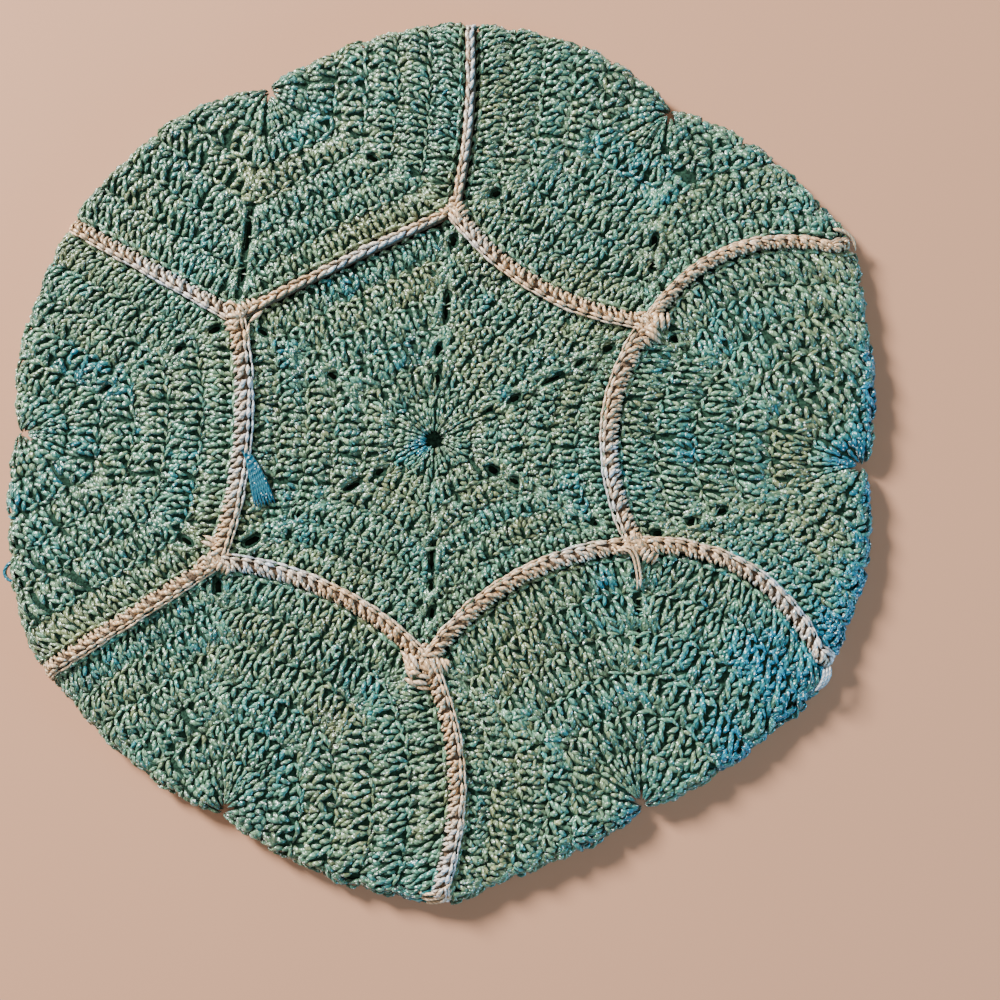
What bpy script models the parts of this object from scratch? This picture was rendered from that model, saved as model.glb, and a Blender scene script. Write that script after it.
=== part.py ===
"""A crochet hot pad, worked double: eight hexagon motifs joined by a raised cord seam.

One motif is the centre of the front and one the centre of the back. The other six are folded
corner to corner over the rim, so each shows a half on the front and a half on the back, with its
ring hole as a notch in the rim. Everything is in metres, +Z up, with the flat back at z = 0.
"""

import math
from collections import namedtuple

import bmesh
import bpy
import numpy as np

MM = 0.001

# The two layers of crochet and the slit between them.
LAYER_THICKNESS = 2.3 * MM
LAYER_GAP = 0.4 * MM
FOLD_HEIGHT = LAYER_THICKNESS + LAYER_GAP / 2
FOLD_OUTER = LAYER_THICKNESS + LAYER_GAP / 2
FOLD_INNER = LAYER_GAP / 2

# Each motif is six rounds of tall stitches about a small ring hole.
ROUNDS = 6
ROWS = 2 * ROUNDS
RING_HOLE_RADIUS = 2.4 * MM
RING_HOLE_SHARE = 0.05
CROWN_RISE = 0.25 * MM
GROOVE_DEPTH = 0.45 * MM
PILLOW_RISE = 0.35 * MM
UNEVEN_RISE = 0.2 * MM
UNEVEN_LENGTH = 19 * MM

# A side of a motif is worked out in this many straight steps, and a fold in these angles.
SIDE_STEPS = 4
FOLD_ANGLES = (30, -30)

# The seam is a cord with a stem between two edges and a rounded head that stands over them.
SEAM_STEM = 1.25 * MM
SEAM_HEAD = 2.1 * MM
SEAM_FOOT = 0.45 * MM
SEAM_UNDER = 2.45 * MM
SEAM_TOP = 3.9 * MM
EDGE_GAP = 0.35 * MM
EDGE_SETBACK = SEAM_STEM + EDGE_GAP
END_GAP = 0.55 * MM
STEM_END = 1.2 * MM
PUFF_UNDER = 2.75 * MM
PUFF_RISE = 0.8 * MM
BACK_SEAM_TRIM = 3.2 * MM
RIM_ANGLES = (60, 30, 0, -30)
TUCK_ANGLE = -60
TUCK_HEAD = 1.3 * MM
TUCK_TOP = 2.85 * MM
TUCK_UNDER = 2.55 * MM
RIM_UNDER = 2.8 * MM

# The back is plain: its inner corners lie at one radius, and its centre sits a little aside.
BACK_CORNER_RADIUS = 52 * MM
BACK_HOLE_PLACE = (4.5 * MM, -3.5 * MM)

# Seams that run outwards, anticlockwise from the right. Angles in degrees, lengths in
# millimetres: a bow is the middle's offset to the left of the way out, and the puff is the
# radius of the gathered lump at the inner corner.
Spoke = namedtuple("Spoke", "place inner_angle inner_radius rim_angle rim_radius bow puff")
SPOKES = (
    Spoke("upper_right", 28.0, 55.5, 25.0, 103.5, 8.0, 3.2),
    Spoke("top", 85.5, 53.5, 85.5, 99.5, -1.5, 3.0),
    Spoke("upper_left", 148.0, 55.5, 149.0, 103.5, 0.0, 3.4),
    Spoke("lower_left", 209.0, 57.5, 210.5, 105.5, 0.0, 3.2),
    Spoke("bottom", 269.0, 50.5, 271.5, 103.0, 5.0, 4.0),
    Spoke("lower_right", 332.0, 52.0, 330.5, 101.5, 7.5, 3.5),
)

# Folded motifs, each between a spoke and the next one. ring_bow is how far the seam on its
# inner side sags towards the pad's centre, and the bulges are those of its two rim halves.
Sector = namedtuple("Sector", "place hole_angle hole_radius ring_bow first_bulge last_bulge")
SECTORS = (
    Sector("upper_right", 54.5, 92.0, 5.5, 4.0, 5.0),
    Sector("upper_left", 116.0, 93.0, -0.5, 3.5, 5.5),
    Sector("left", 178.5, 98.0, 4.0, 4.5, 5.0),
    Sector("lower_left", 240.5, 95.5, 5.0, 3.5, 4.0),
    Sector("lower_right", 300.0, 92.5, 6.5, 1.5, 4.0),
    Sector("right", 356.0, 94.5, 7.5, 3.0, 2.0),
)

# Linear colours of the yarns: sage and teal stretches of one dyed yarn, and the seam's cord.
SAGE = (0.14, 0.27, 0.20, 1.0)
TEAL = (0.10, 0.27, 0.23, 1.0)
CORD = (0.60, 0.47, 0.41, 1.0)
YARN_ROUGHNESS = 0.6
CORD_ROUGHNESS = 0.5


def polar(radius, angle):
    """A point of the pad's plan, from a radius in metres and an angle in degrees."""
    turn = math.radians(angle)
    return np.array((radius * math.cos(turn), radius * math.sin(turn)))


def unit(vector):
    return vector / np.linalg.norm(vector)


def left_of(vector):
    """The unit vector to the left of a direction in plan."""
    return unit(np.array((-vector[1], vector[0])))


def bowed(start, end, bow):
    """A side of a motif: a shallow arc whose middle lies bow to the left of its chord."""
    shares = np.linspace(0, 1, SIDE_STEPS + 1)[:, None]
    return start + shares * (end - start) + 4 * shares * (1 - shares) * bow * left_of(end - start)


def mitres(points):
    """For each point of an open line, the vector to a parallel line 1 to its left."""
    normals = [left_of(step) for step in np.diff(points, axis=0)]
    found = [normals[0]]
    for before, after in zip(normals, normals[1:]):
        middle = unit(before + after)
        found.append(middle / middle.dot(before))
    found.append(normals[-1])
    return np.array(found)


def new_object(name, bm, material):
    """Closes off a bmesh as one of the pad's objects, with its faces pointing out."""
    bmesh.ops.recalc_face_normals(bm, faces=bm.faces)
    if bm.calc_volume(signed=True) < 0:
        bmesh.ops.reverse_faces(bm, faces=bm.faces)
    mesh = bpy.data.meshes.new(name)
    bm.to_mesh(mesh)
    bm.free()
    mesh.shade_smooth()
    mesh.set_sharp_from_angle(angle=math.radians(50))
    mesh.materials.append(material)
    obj = bpy.data.objects.new(name, mesh)
    bpy.data.collections["Crochet_hot_pad"].objects.link(obj)
    return obj


def motif_object(name, outer, inner, material):
    """A motif from its two faces, each a grid of rows from the hole out and columns round."""
    bm = bmesh.new()
    rows, columns = outer.shape[:2]
    skins = [[[bm.verts.new(p) for p in row] for row in skin] for skin in (outer, inner)]
    for c in range(columns):
        d = (c + 1) % columns
        for skin in skins:
            for r in range(rows - 1):
                bm.faces.new((skin[r][c], skin[r][d], skin[r + 1][d], skin[r + 1][c]))
        for r in (0, rows - 1):
            bm.faces.new((skins[0][r][c], skins[0][r][d], skins[1][r][d], skins[1][r][c]))
    return new_object(name, bm, material)


def seam_object(name, sections, material):
    """A cord lofted through its cross-sections, with both ends capped."""
    bm = bmesh.new()
    rings = [[bm.verts.new(p) for p in section] for section in sections]
    count = len(rings[0])
    for ring, following in zip(rings, rings[1:]):
        for a in range(count):
            b = (a + 1) % count
            bm.faces.new((ring[a], ring[b], following[b], following[a]))
    bm.faces.new(rings[0])
    bm.faces.new(rings[-1])
    return new_object(name, bm, material)


def yarn_material(name, colour, roughness):
    material = bpy.data.materials.new(name)
    material.use_nodes = True
    shader = material.node_tree.nodes["Principled BSDF"]
    shader.inputs["Base Color"].default_value = colour
    shader.inputs["Roughness"].default_value = roughness
    shader.inputs["Metallic"].default_value = 0.0
    return material


def sage_yarn(name):
    return yarn_material(name + "_sage_yarn", SAGE, YARN_ROUGHNESS)


def teal_yarn(name):
    return yarn_material(name + "_teal_yarn", TEAL, YARN_ROUGHNESS)


def seam_cord(name):
    return yarn_material(name + "_beige_cord", CORD, CORD_ROUGHNESS)


def inner_corner(k):
    spoke = SPOKES[k % 6]
    return polar(spoke.inner_radius * MM, spoke.inner_angle)


def back_corner(k):
    return polar(BACK_CORNER_RADIUS, SPOKES[k % 6].rim_angle)


def way_out(k):
    """The direction in which the seam of a spoke goes over the rim."""
    return polar(1, SPOKES[k % 6].rim_angle)


def fold_end(k):
    """Where a spoke's seam turns over the rim, in plan: the middle of the turn."""
    return way_out(k) * (SPOKES[k % 6].rim_radius * MM - SEAM_TOP)


def front_spoke_line(k):
    return bowed(inner_corner(k), fold_end(k), SPOKES[k % 6].bow * MM)


def front_ring_line(k):
    return bowed(inner_corner(k), inner_corner(k + 1), SECTORS[k].ring_bow * MM)


def back_spoke_line(k):
    return bowed(back_corner(k), fold_end(k), 0)


def back_ring_line(k):
    return bowed(back_corner(k), back_corner(k + 1), 0)


def folded_edge(k, spoke_line, ring_line):
    """The sewn edge of a folded motif on one side: in along a spoke, round, and out again."""
    first = spoke_line(k)[::-1]
    last = spoke_line(k + 1)
    line = np.vstack(
        (
            first[0] + way_out(k) * SEAM_TOP,
            first,
            ring_line(k)[1:],
            last[1:],
            last[-1] + way_out(k + 1) * SEAM_TOP,
        )
    )
    return (line - EDGE_SETBACK * mitres(line))[1:-1]


def centre_edge(ring_line):
    """The sewn edge of a centre motif, anticlockwise, without its repeated last point."""
    line = np.vstack([ring_line(k)[:-1] for k in range(6)])
    closed = np.vstack((line[-1:], line, line[:1]))
    return line + EDGE_SETBACK * mitres(closed)[1:-1]


def row_shares(hole, edge):
    """How far each row of a column lies from the ring hole's centre to the sewn edge."""
    shares = RING_HOLE_SHARE + (1 - RING_HOLE_SHARE) * np.arange(ROWS + 1) / ROWS
    shares[0] = RING_HOLE_RADIUS / np.linalg.norm(edge - hole)
    return shares


def column(hole, edge, push):
    """A column of a motif in plan: its rows from the ring hole out, with a sideways push."""
    shares = row_shares(hole, edge)[:, None]
    return hole + shares * (edge - hole) + 4 * shares * (1 - shares) * push


def rise(plan):
    """How much each row of a column on the front stands above or below the even layer."""
    rows = np.arange(ROWS + 1)
    rounds = np.where(rows % 2 == 1, CROWN_RISE, -GROOVE_DEPTH)
    pillow = PILLOW_RISE * np.sin(math.pi * rows / ROWS)
    waves = np.sin(plan[:, 0] / UNEVEN_LENGTH + 1) * np.sin(plan[:, 1] / UNEVEN_LENGTH - 0.6)
    return rounds + pillow + UNEVEN_RISE * waves * np.sin(math.pi * rows / ROWS)


def at_height(plan, height):
    return np.column_stack((plan, np.broadcast_to(height, len(plan))))


def centre_motif(name, edge, hole, back, material):
    """A flat hexagon: the front one has raised rounds, and the back one is plain."""
    outer, inner = [], []
    for point in edge:
        plan = column(hole, point, np.zeros(2))
        top = 2 * FOLD_HEIGHT + rise(plan)
        outer.append(at_height(plan, 0 if back else top))
        inner.append(at_height(plan, LAYER_THICKNESS if back else LAYER_THICKNESS + LAYER_GAP))
    return motif_object(name, np.stack(outer, 1), np.stack(inner, 1), material)


def fold_normals(plan, outwards, end):
    """The way out of the fold at each row: square to the rim, and along the seam at its end."""
    found = [left_of(step) for step in np.gradient(plan, axis=0)]
    found = [n if n.dot(outwards) > 0 else -n for n in found]
    found[-1] = end
    return np.array(found)


def turned(plan, normals, radius, angle):
    """The rows of a column on the fold's turn, at an angle from level up to the front."""
    turn = math.radians(angle)
    reach = np.broadcast_to(radius, len(plan))[:, None] * math.cos(turn)
    height = FOLD_HEIGHT + np.broadcast_to(radius, len(plan)) * math.sin(turn)
    return at_height(plan + reach * normals, height)


def folded_motif(k, material):
    """A hexagon folded over the rim through its ring hole, as columns all the way round it."""
    sector = SECTORS[k]
    hole = polar(sector.hole_radius * MM, sector.hole_angle)
    front = folded_edge(k, front_spoke_line, front_ring_line)
    back = folded_edge(k, back_spoke_line, back_ring_line)
    back[0] = front[0]
    back[-1] = front[-1]
    first_out = left_of(hole - front[0]) * -1
    last_out = left_of(front[-1] - hole) * -1
    steps = len(front) - 1
    outer, inner = [], []

    def push_at(j):
        first = max(0, 1 - j / SIDE_STEPS) * sector.first_bulge * MM
        last = max(0, 1 - (steps - j) / SIDE_STEPS) * sector.last_bulge * MM
        return first * first_out + last * last_out

    def add_flat(edge, j, top, under):
        plan = column(hole, edge[j], push_at(j))
        lift = rise(plan) if top > FOLD_HEIGHT else 0
        outer.append(at_height(plan, top + lift))
        inner.append(at_height(plan, under))

    def add_turn(j, outwards, end, angles):
        plan = column(hole, front[j], push_at(j))
        normals = fold_normals(plan, outwards, end)
        for angle in angles:
            raised = rise(plan) * (0.5 + angle / 180)
            outer.append(turned(plan, normals, FOLD_OUTER + raised, angle))
            inner.append(turned(plan, normals, FOLD_INNER, angle))

    for j in range(steps + 1):
        add_flat(front, j, 2 * FOLD_HEIGHT, FOLD_HEIGHT + FOLD_INNER)
    add_turn(steps, last_out, way_out(k + 1), FOLD_ANGLES)
    for j in range(steps, -1, -1):
        add_flat(back, j, 0, FOLD_HEIGHT - FOLD_INNER)
    add_turn(0, first_out, way_out(k), FOLD_ANGLES[::-1])
    name = "folded_motif_" + sector.place
    return motif_object(name, np.stack(outer, 1), np.stack(inner, 1), material)


def mirrored(right, top):
    """A whole cross-section from its right half, foot first, and the height of its crest."""
    return right + ((0, top),) + tuple((-side, out) for side, out in right[::-1])


def cord_section(half_width, top, under, foot, stem=SEAM_STEM):
    """The cord's cross-section as (side, out) pairs: a stem that tapers to its foot, and a
    head that is widest two fifths of the way up and rounds over to its crest."""
    head = top - under
    right = (
        (0.85 * stem, foot),
        (stem, foot + 0.95 * (under - foot)),
        (0.85 * half_width, under),
        (half_width, under + 0.4 * head),
        (0.62 * half_width, under + 0.87 * head),
    )
    return mirrored(right, top)


def plain_section():
    """The front seam's cross-section, away from the puffs."""
    return cord_section(SEAM_HEAD, SEAM_TOP, SEAM_UNDER, SEAM_FOOT)


def flat_section():
    """The back seam's cross-section: pressed flat, with straight sides, flush with the back."""
    right = (
        (0.85 * SEAM_STEM, SEAM_FOOT),
        (SEAM_STEM, 0.45 * FOLD_OUTER),
        (SEAM_STEM, 0.65 * FOLD_OUTER),
        (SEAM_STEM, 0.85 * FOLD_OUTER),
        (0.8 * SEAM_STEM, FOLD_OUTER),
    )
    return mirrored(right, FOLD_OUTER)


def placed(section, plan, side, out):
    """A cross-section's points about a place in plan, with its side and out vectors."""
    base = np.array((plan[0], plan[1], FOLD_HEIGHT))
    across = np.array((side[0], side[1], 0))
    return [base + s * across + o * np.asarray(out) for s, o in section]


UP = (0, 0, 1)
DOWN = (0, 0, -1)


def leaning(out, angle):
    """A direction in the upright plane of a seam, from level outwards up by an angle."""
    turn = math.radians(angle)
    return (math.cos(turn) * out[0], math.cos(turn) * out[1], math.sin(turn))


def puff_sections(k):
    """The gathered lump at a spoke's inner corner, from its tip to the corner itself."""
    puff = SPOKES[k].puff * MM
    top = SEAM_TOP + PUFF_RISE
    line = front_spoke_line(k)
    along = unit(line[1] - line[0])
    side = left_of(along)
    above = PUFF_UNDER - 0.15 * MM
    # Each row: distance past the corner, half width of the head, its crest, underside and foot.
    rows = (
        (puff, 0.35 * puff, SEAM_TOP - 0.2 * MM, PUFF_UNDER + 0.3 * MM, above + 0.25 * MM),
        (0.75 * puff, 0.75 * puff, top - 0.2 * MM, PUFF_UNDER, above),
        (STEM_END + 0.3 * MM, 0.95 * puff, top, PUFF_UNDER, above),
        (STEM_END, puff, top, PUFF_UNDER, SEAM_FOOT),
        (-0.3 * puff, 0.92 * puff, top, PUFF_UNDER, SEAM_FOOT),
        (-1.1 * puff, SEAM_HEAD, SEAM_TOP, SEAM_UNDER, SEAM_FOOT),
    )
    found = []
    for past, half_width, height, under, foot in rows:
        stem = min(SEAM_STEM, 0.7 * half_width)
        section = cord_section(half_width, height, under, foot, stem)
        found.append(placed(section, line[0] - past * along, side, UP))
    return found


def spoke_seam(k, material):
    """One cord from its puff on the front, out over the rim and in along the back."""
    front = front_spoke_line(k)
    out = way_out(k)
    sides = mitres(np.vstack((front, front[-1] + out)))[:-1]
    end, end_side = front[-1], sides[-1]
    sections = puff_sections(k)
    for point, side in list(zip(front, sides))[1:]:
        sections.append(placed(plain_section(), point, side, UP))
    over_rim = cord_section(SEAM_HEAD, SEAM_TOP, RIM_UNDER, SEAM_FOOT)
    for angle in RIM_ANGLES:
        sections.append(placed(over_rim, end, end_side, leaning(out, angle)))
    tucked = cord_section(TUCK_HEAD, TUCK_TOP, TUCK_UNDER, SEAM_FOOT)
    sections.append(placed(tucked, end, end_side, leaning(out, TUCK_ANGLE)))
    sections.append(placed(flat_section(), end, end_side, DOWN))
    inner_end = back_corner(k) - out * STEM_END
    sections.append(placed(flat_section(), inner_end, left_of(out), DOWN))
    return seam_object("spoke_seam_" + SPOKES[k].place, sections, material)


def trimmed(line, from_start, from_end):
    """A line with its ends drawn back along their own steps."""
    short = line.copy()
    short[0] += from_start * unit(line[1] - line[0])
    short[-1] += from_end * unit(line[-2] - line[-1])
    return short


def ring_seam(k, back, material):
    """One side of the ring of seam round a centre motif, between two spokes."""
    if back:
        line = trimmed(back_ring_line(k), BACK_SEAM_TRIM, BACK_SEAM_TRIM)
        section, out, name = flat_section(), DOWN, "back_ring_seam_"
    else:
        ends = [SPOKES[(k + n) % 6].puff * MM + END_GAP for n in (0, 1)]
        line = trimmed(front_ring_line(k), *ends)
        section, out, name = plain_section(), UP, "front_ring_seam_"
    sections = [placed(section, point, side, out) for point, side in zip(line, mitres(line))]
    return seam_object(name + SECTORS[k].place, sections, material)


def clear_scene():
    for obj in list(bpy.data.objects):
        bpy.data.objects.remove(obj)


def build_pad():
    pad = bpy.data.collections.new("Crochet_hot_pad")
    bpy.context.scene.collection.children.link(pad)
    front_edge = centre_edge(front_ring_line)
    back_edge = centre_edge(back_ring_line)
    centre_motif("centre_motif_front", front_edge, np.zeros(2), False, sage_yarn("front"))
    centre_motif("centre_motif_back", back_edge, np.array(BACK_HOLE_PLACE), True, sage_yarn("back"))
    for k, sector in enumerate(SECTORS):
        folded_motif(k, teal_yarn(sector.place))
        ring_seam(k, False, seam_cord("front_ring_" + sector.place))
        ring_seam(k, True, seam_cord("back_ring_" + sector.place))
    for k, spoke in enumerate(SPOKES):
        spoke_seam(k, seam_cord("spoke_" + spoke.place))


clear_scene()
build_pad()
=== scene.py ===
# %% [markdown]
# # A crochet hot pad, worked double
# The pad is eight crochet hexagons. One is the middle of the front, one is the middle of the
# back, and six are folded corner to corner over the rim, so each of them shows half of itself
# on either side. A raised seam of pinkish cord joins them. In this lesson the solids of the
# model set every size, and the looks are laid over them: first the cloth as thin folded
# sheets, then each stitch as real strands of yarn, then the cord seam, and last the light.

# %% Load the solids
import math
from collections import namedtuple

import bpy
import numpy as np
from mathutils import Euler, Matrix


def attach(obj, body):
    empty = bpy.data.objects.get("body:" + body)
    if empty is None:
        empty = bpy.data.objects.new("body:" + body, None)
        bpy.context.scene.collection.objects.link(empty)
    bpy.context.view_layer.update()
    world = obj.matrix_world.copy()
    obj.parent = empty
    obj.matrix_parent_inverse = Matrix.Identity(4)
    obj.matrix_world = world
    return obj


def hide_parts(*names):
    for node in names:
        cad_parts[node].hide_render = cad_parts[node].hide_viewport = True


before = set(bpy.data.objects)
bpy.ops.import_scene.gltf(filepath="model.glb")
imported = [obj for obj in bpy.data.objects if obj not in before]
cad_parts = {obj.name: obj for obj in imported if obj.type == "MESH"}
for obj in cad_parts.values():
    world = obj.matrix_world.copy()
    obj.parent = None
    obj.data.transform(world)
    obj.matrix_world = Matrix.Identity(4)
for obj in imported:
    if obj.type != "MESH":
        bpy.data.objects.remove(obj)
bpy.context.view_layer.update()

# %% [markdown]
# The picture was taken from nearly straight above, tilted a few degrees towards the lower
# right. The place and the turns below put the pad's corners where the photograph has them.

# %% Place the camera
CAMERA_PLACE = (0.0496, -0.0473, 0.3105)
CAMERA_TURN = (6.21, 6.38, 0.34)
CAMERA_LENS = 49.45
SENSOR_WIDTH = 36.0


def make_camera():
    data = bpy.data.cameras.new("Overhead_camera")
    data.lens = CAMERA_LENS
    data.sensor_width = SENSOR_WIDTH
    data.clip_start = 0.01
    camera = bpy.data.objects.new("Overhead_camera", data)
    camera.location = CAMERA_PLACE
    camera.rotation_euler = [math.radians(a) for a in CAMERA_TURN]
    bpy.context.scene.collection.objects.link(camera)
    bpy.context.scene.camera = camera


make_camera()
print("camera at", CAMERA_PLACE, "lens", CAMERA_LENS)

# %% [markdown]
# ## The plan of the pad
# The seam's route is what the maker sees first: six seams run out to the rim, and six sides
# ring the middle. The tables hold the same places as the solids. All lengths in this lesson
# are millimetres, and only the last step of each mesh turns them into Blender's metres.

# %% The seams and the folded motifs, as tables
MM = 0.001
FOLD_HEIGHT = 2.5
SEAM_TOP = 3.9
EDGE_SETBACK = 1.6
RING_HOLE_RADIUS = 2.4
BACK_CORNER_RADIUS = 52
BACK_HOLE_PLACE = (4.5, -3.5)
ROUNDS = 6

Spoke = namedtuple("Spoke", "place inner_angle inner_radius rim_angle rim_radius bow puff")
SPOKES = (
    Spoke("upper_right", 28.0, 55.5, 25.0, 103.5, 8.0, 3.2),
    Spoke("top", 85.5, 53.5, 85.5, 99.5, -1.5, 3.0),
    Spoke("upper_left", 148.0, 55.5, 149.0, 103.5, 0.0, 3.4),
    Spoke("lower_left", 209.0, 57.5, 210.5, 105.5, 0.0, 3.2),
    Spoke("bottom", 269.0, 50.5, 271.5, 103.0, 5.0, 4.0),
    Spoke("lower_right", 332.0, 52.0, 330.5, 101.5, 7.5, 3.5),
)
Sector = namedtuple("Sector", "place hole_angle hole_radius ring_bow first_bulge last_bulge")
SECTORS = (
    Sector("upper_right", 54.5, 92.0, 5.5, 4.0, 5.0),
    Sector("upper_left", 116.0, 93.0, -0.5, 3.5, 5.5),
    Sector("left", 178.5, 98.0, 4.0, 4.5, 5.0),
    Sector("lower_left", 240.5, 95.5, 5.0, 3.5, 4.0),
    Sector("lower_right", 300.0, 92.5, 6.5, 1.5, 4.0),
    Sector("right", 356.0, 94.5, 7.5, 3.0, 2.0),
)

# %% Lines in plan: arcs of the seam and the edges beside it
SIDE_STEPS = 8


def unit(vectors):
    return vectors / np.maximum(np.linalg.norm(vectors, axis=-1, keepdims=True), 1e-9)


def polar(radius, angle):
    turn = math.radians(angle)
    return np.array((radius * math.cos(turn), radius * math.sin(turn)))


def left_of(vectors):
    return unit(np.stack((-vectors[..., 1], vectors[..., 0]), -1))


def bowed(start, end, bow, steps=SIDE_STEPS):
    shares = np.linspace(0, 1, steps + 1)[:, None]
    return start + shares * (end - start) + 4 * shares * (1 - shares) * bow * left_of(end - start)


def mitres(points):
    """For each point of a line, the vector to a parallel line 1 to its left."""
    normals = left_of(np.diff(points, axis=0))
    middle = unit(normals[:-1] + normals[1:])
    middle /= (middle * normals[:-1]).sum(1, keepdims=True)
    return np.vstack((normals[:1], middle, normals[-1:]))


def way_out(k):
    return polar(1, SPOKES[k % 6].rim_angle)


def inner_corner(k):
    return polar(SPOKES[k % 6].inner_radius, SPOKES[k % 6].inner_angle)


def back_corner(k):
    return polar(BACK_CORNER_RADIUS, SPOKES[k % 6].rim_angle)


def fold_end(k):
    return way_out(k) * (SPOKES[k % 6].rim_radius - SEAM_TOP)


def front_spoke(k):
    return bowed(inner_corner(k), fold_end(k), SPOKES[k % 6].bow)


def front_ring(k):
    return bowed(inner_corner(k), inner_corner(k + 1), SECTORS[k % 6].ring_bow)


def back_spoke(k):
    return bowed(back_corner(k), fold_end(k), 0)


def back_ring(k):
    return bowed(back_corner(k), back_corner(k + 1), 0)


def folded_edge(k, spoke, ring):
    """The sewn edge of half a folded motif: in along one seam, round, and out along the next."""
    first, last = spoke(k)[::-1], spoke(k + 1)
    ends = first[0] + way_out(k) * SEAM_TOP, last[-1] + way_out(k + 1) * SEAM_TOP
    line = np.vstack((ends[0], first, ring(k)[1:], last[1:], ends[1]))
    return (line - EDGE_SETBACK * mitres(line))[1:-1]


def middle_edge(ring):
    line = np.vstack([ring(k)[:-1] for k in range(6)])
    return line + EDGE_SETBACK * mitres(np.vstack((line[-1:], line, line[:1])))[1:-1]


ring_steps = np.linalg.norm(np.diff(front_ring(0), axis=0), axis=1)
print("a ring side is", round(float(ring_steps.sum()), 1), "mm long")

# %% [markdown]
# ## A map of each motif
# Every motif is a hexagon worked in rounds from its ring hole, so a place on it has two
# numbers: how far round it lies, from 0 to 6 sides, and how many rounds out, from 0 to 6. A
# grid of points turns those two numbers into a place on the folded cloth. With it a stitch can
# be laid anywhere, over the rim too, without ever thinking about the fold.

# %% Build the map of a motif
MAP_SIDE = 18
MAP_ROWS = 24
ROUND_MEAN = -0.1
ROUND_SWING = 0.35
PILLOW = 0.35
UNEVEN = 0.2
UNEVEN_LENGTH = 19
TURN_ANGLES = (75, 60, 45, 30, 15)
Cloth = namedtuple("Cloth", "points normals")
rounds_out = np.linspace(0, ROUNDS, MAP_ROWS + 1)


def column(hole, edge, push):
    """The rows of a column in plan, from the ring hole to the sewn edge."""
    least = RING_HOLE_RADIUS / np.linalg.norm(edge - hole)
    share = (least + (1 - least) * rounds_out / ROUNDS)[:, None]
    return hole + share * (edge - hole) + 4 * share * (1 - share) * push


def relief(plan):
    """How the front swells between the grooves of its rounds, and how uneven it lies."""
    swell = np.sin(math.pi * rounds_out / ROUNDS)
    waves = np.sin(plan[:, 0] / UNEVEN_LENGTH + 1) * np.sin(plan[:, 1] / UNEVEN_LENGTH - 0.6)
    grooves = ROUND_MEAN - ROUND_SWING * np.cos(2 * math.pi * rounds_out)
    return grooves + (PILLOW + UNEVEN * waves) * swell


def flat_station(plan, front):
    height = 2 * FOLD_HEIGHT + relief(plan) if front else np.zeros(len(plan))
    normal = np.tile((0, 0, 1 if front else -1), (len(plan), 1))
    return np.column_stack((plan, height)), normal


def turn_station(plan, outwards, end, angle):
    """A column on the turn of the fold, at an angle from level up to the front."""
    across = left_of(np.gradient(plan, axis=0))
    across = np.where((across @ outwards)[:, None] > 0, across, -across)
    late = np.clip((rounds_out - ROUNDS + 0.5) / 0.5, 0, 1)[:, None]
    across = unit(across * (1 - late) + end * late)
    turn = math.radians(angle)
    normal = np.column_stack((across * math.cos(turn), np.full(len(plan), math.sin(turn))))
    radius = FOLD_HEIGHT + relief(plan) * (0.5 + angle / 180)
    middle = np.column_stack((plan, np.full(len(plan), FOLD_HEIGHT)))
    return middle + radius[:, None] * normal, normal


def even_map(stations, corners):
    """Spaces the stations evenly along each of the six sides, row by row."""
    points = np.array([s[0] for s in stations])
    normals = np.array([s[1] for s in stations])
    made = np.empty((2, 6 * MAP_SIDE + 1, MAP_ROWS + 1, 3))
    for row in range(MAP_ROWS + 1):
        steps = np.linalg.norm(np.diff(points[:, row], axis=0), axis=1)
        length = np.concatenate(([0], np.cumsum(steps)))
        for side in range(6):
            a, b = corners[side], corners[side + 1]
            wanted = np.linspace(length[a], length[b], MAP_SIDE + 1)
            for axis in range(3):
                cells = slice(side * MAP_SIDE, (side + 1) * MAP_SIDE + 1)
                made[0, cells, row, axis] = np.interp(wanted, length, points[:, row, axis])
                made[1, cells, row, axis] = np.interp(wanted, length, normals[:, row, axis])
    return Cloth(made[0], unit(made[1]))


def middle_cloth(edge, hole, front):
    stations = [flat_station(column(hole, p, np.zeros(2)), front) for p in edge]
    stations.append(stations[0])
    return even_map(stations, range(0, 6 * SIDE_STEPS + 1, SIDE_STEPS))


def folded_cloth(k):
    """The map of a folded motif: half on the front, over the rim, and half on the back."""
    sector = SECTORS[k]
    hole = polar(sector.hole_radius, sector.hole_angle)
    front = folded_edge(k, front_spoke, front_ring)
    back = folded_edge(k, back_spoke, back_ring)
    back[0], back[-1] = front[0], front[-1]
    outs = -left_of(hole - front[0]), -left_of(front[-1] - hole)
    last = len(front) - 1

    def plan(edge, j):
        first_push = max(0, 1 - j / SIDE_STEPS) * sector.first_bulge * outs[0]
        last_push = max(0, 1 - (last - j) / SIDE_STEPS) * sector.last_bulge * outs[1]
        return column(hole, edge[j], first_push + last_push)

    def turn(j, angles):
        end = 0 if j == 0 else 1
        return [turn_station(plan(front, j), outs[end], way_out(k + end), a) for a in angles]

    downs = [-a for a in TURN_ANGLES]
    stations = turn(0, (0, *TURN_ANGLES[::-1]))
    begin = len(stations)
    stations += [flat_station(plan(front, j), True) for j in range(last + 1)]
    stations += turn(last, (*TURN_ANGLES, 0, *downs[::-1]))
    under = len(stations)
    stations += [flat_station(plan(back, j), False) for j in range(last, -1, -1)]
    stations += turn(0, downs) + stations[:1]
    corners = (0, begin + SIDE_STEPS, begin + 2 * SIDE_STEPS, begin + last + 1 + len(TURN_ANGLES),
               under + SIDE_STEPS, under + 2 * SIDE_STEPS, len(stations) - 1)
    return even_map(stations, corners)


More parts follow.
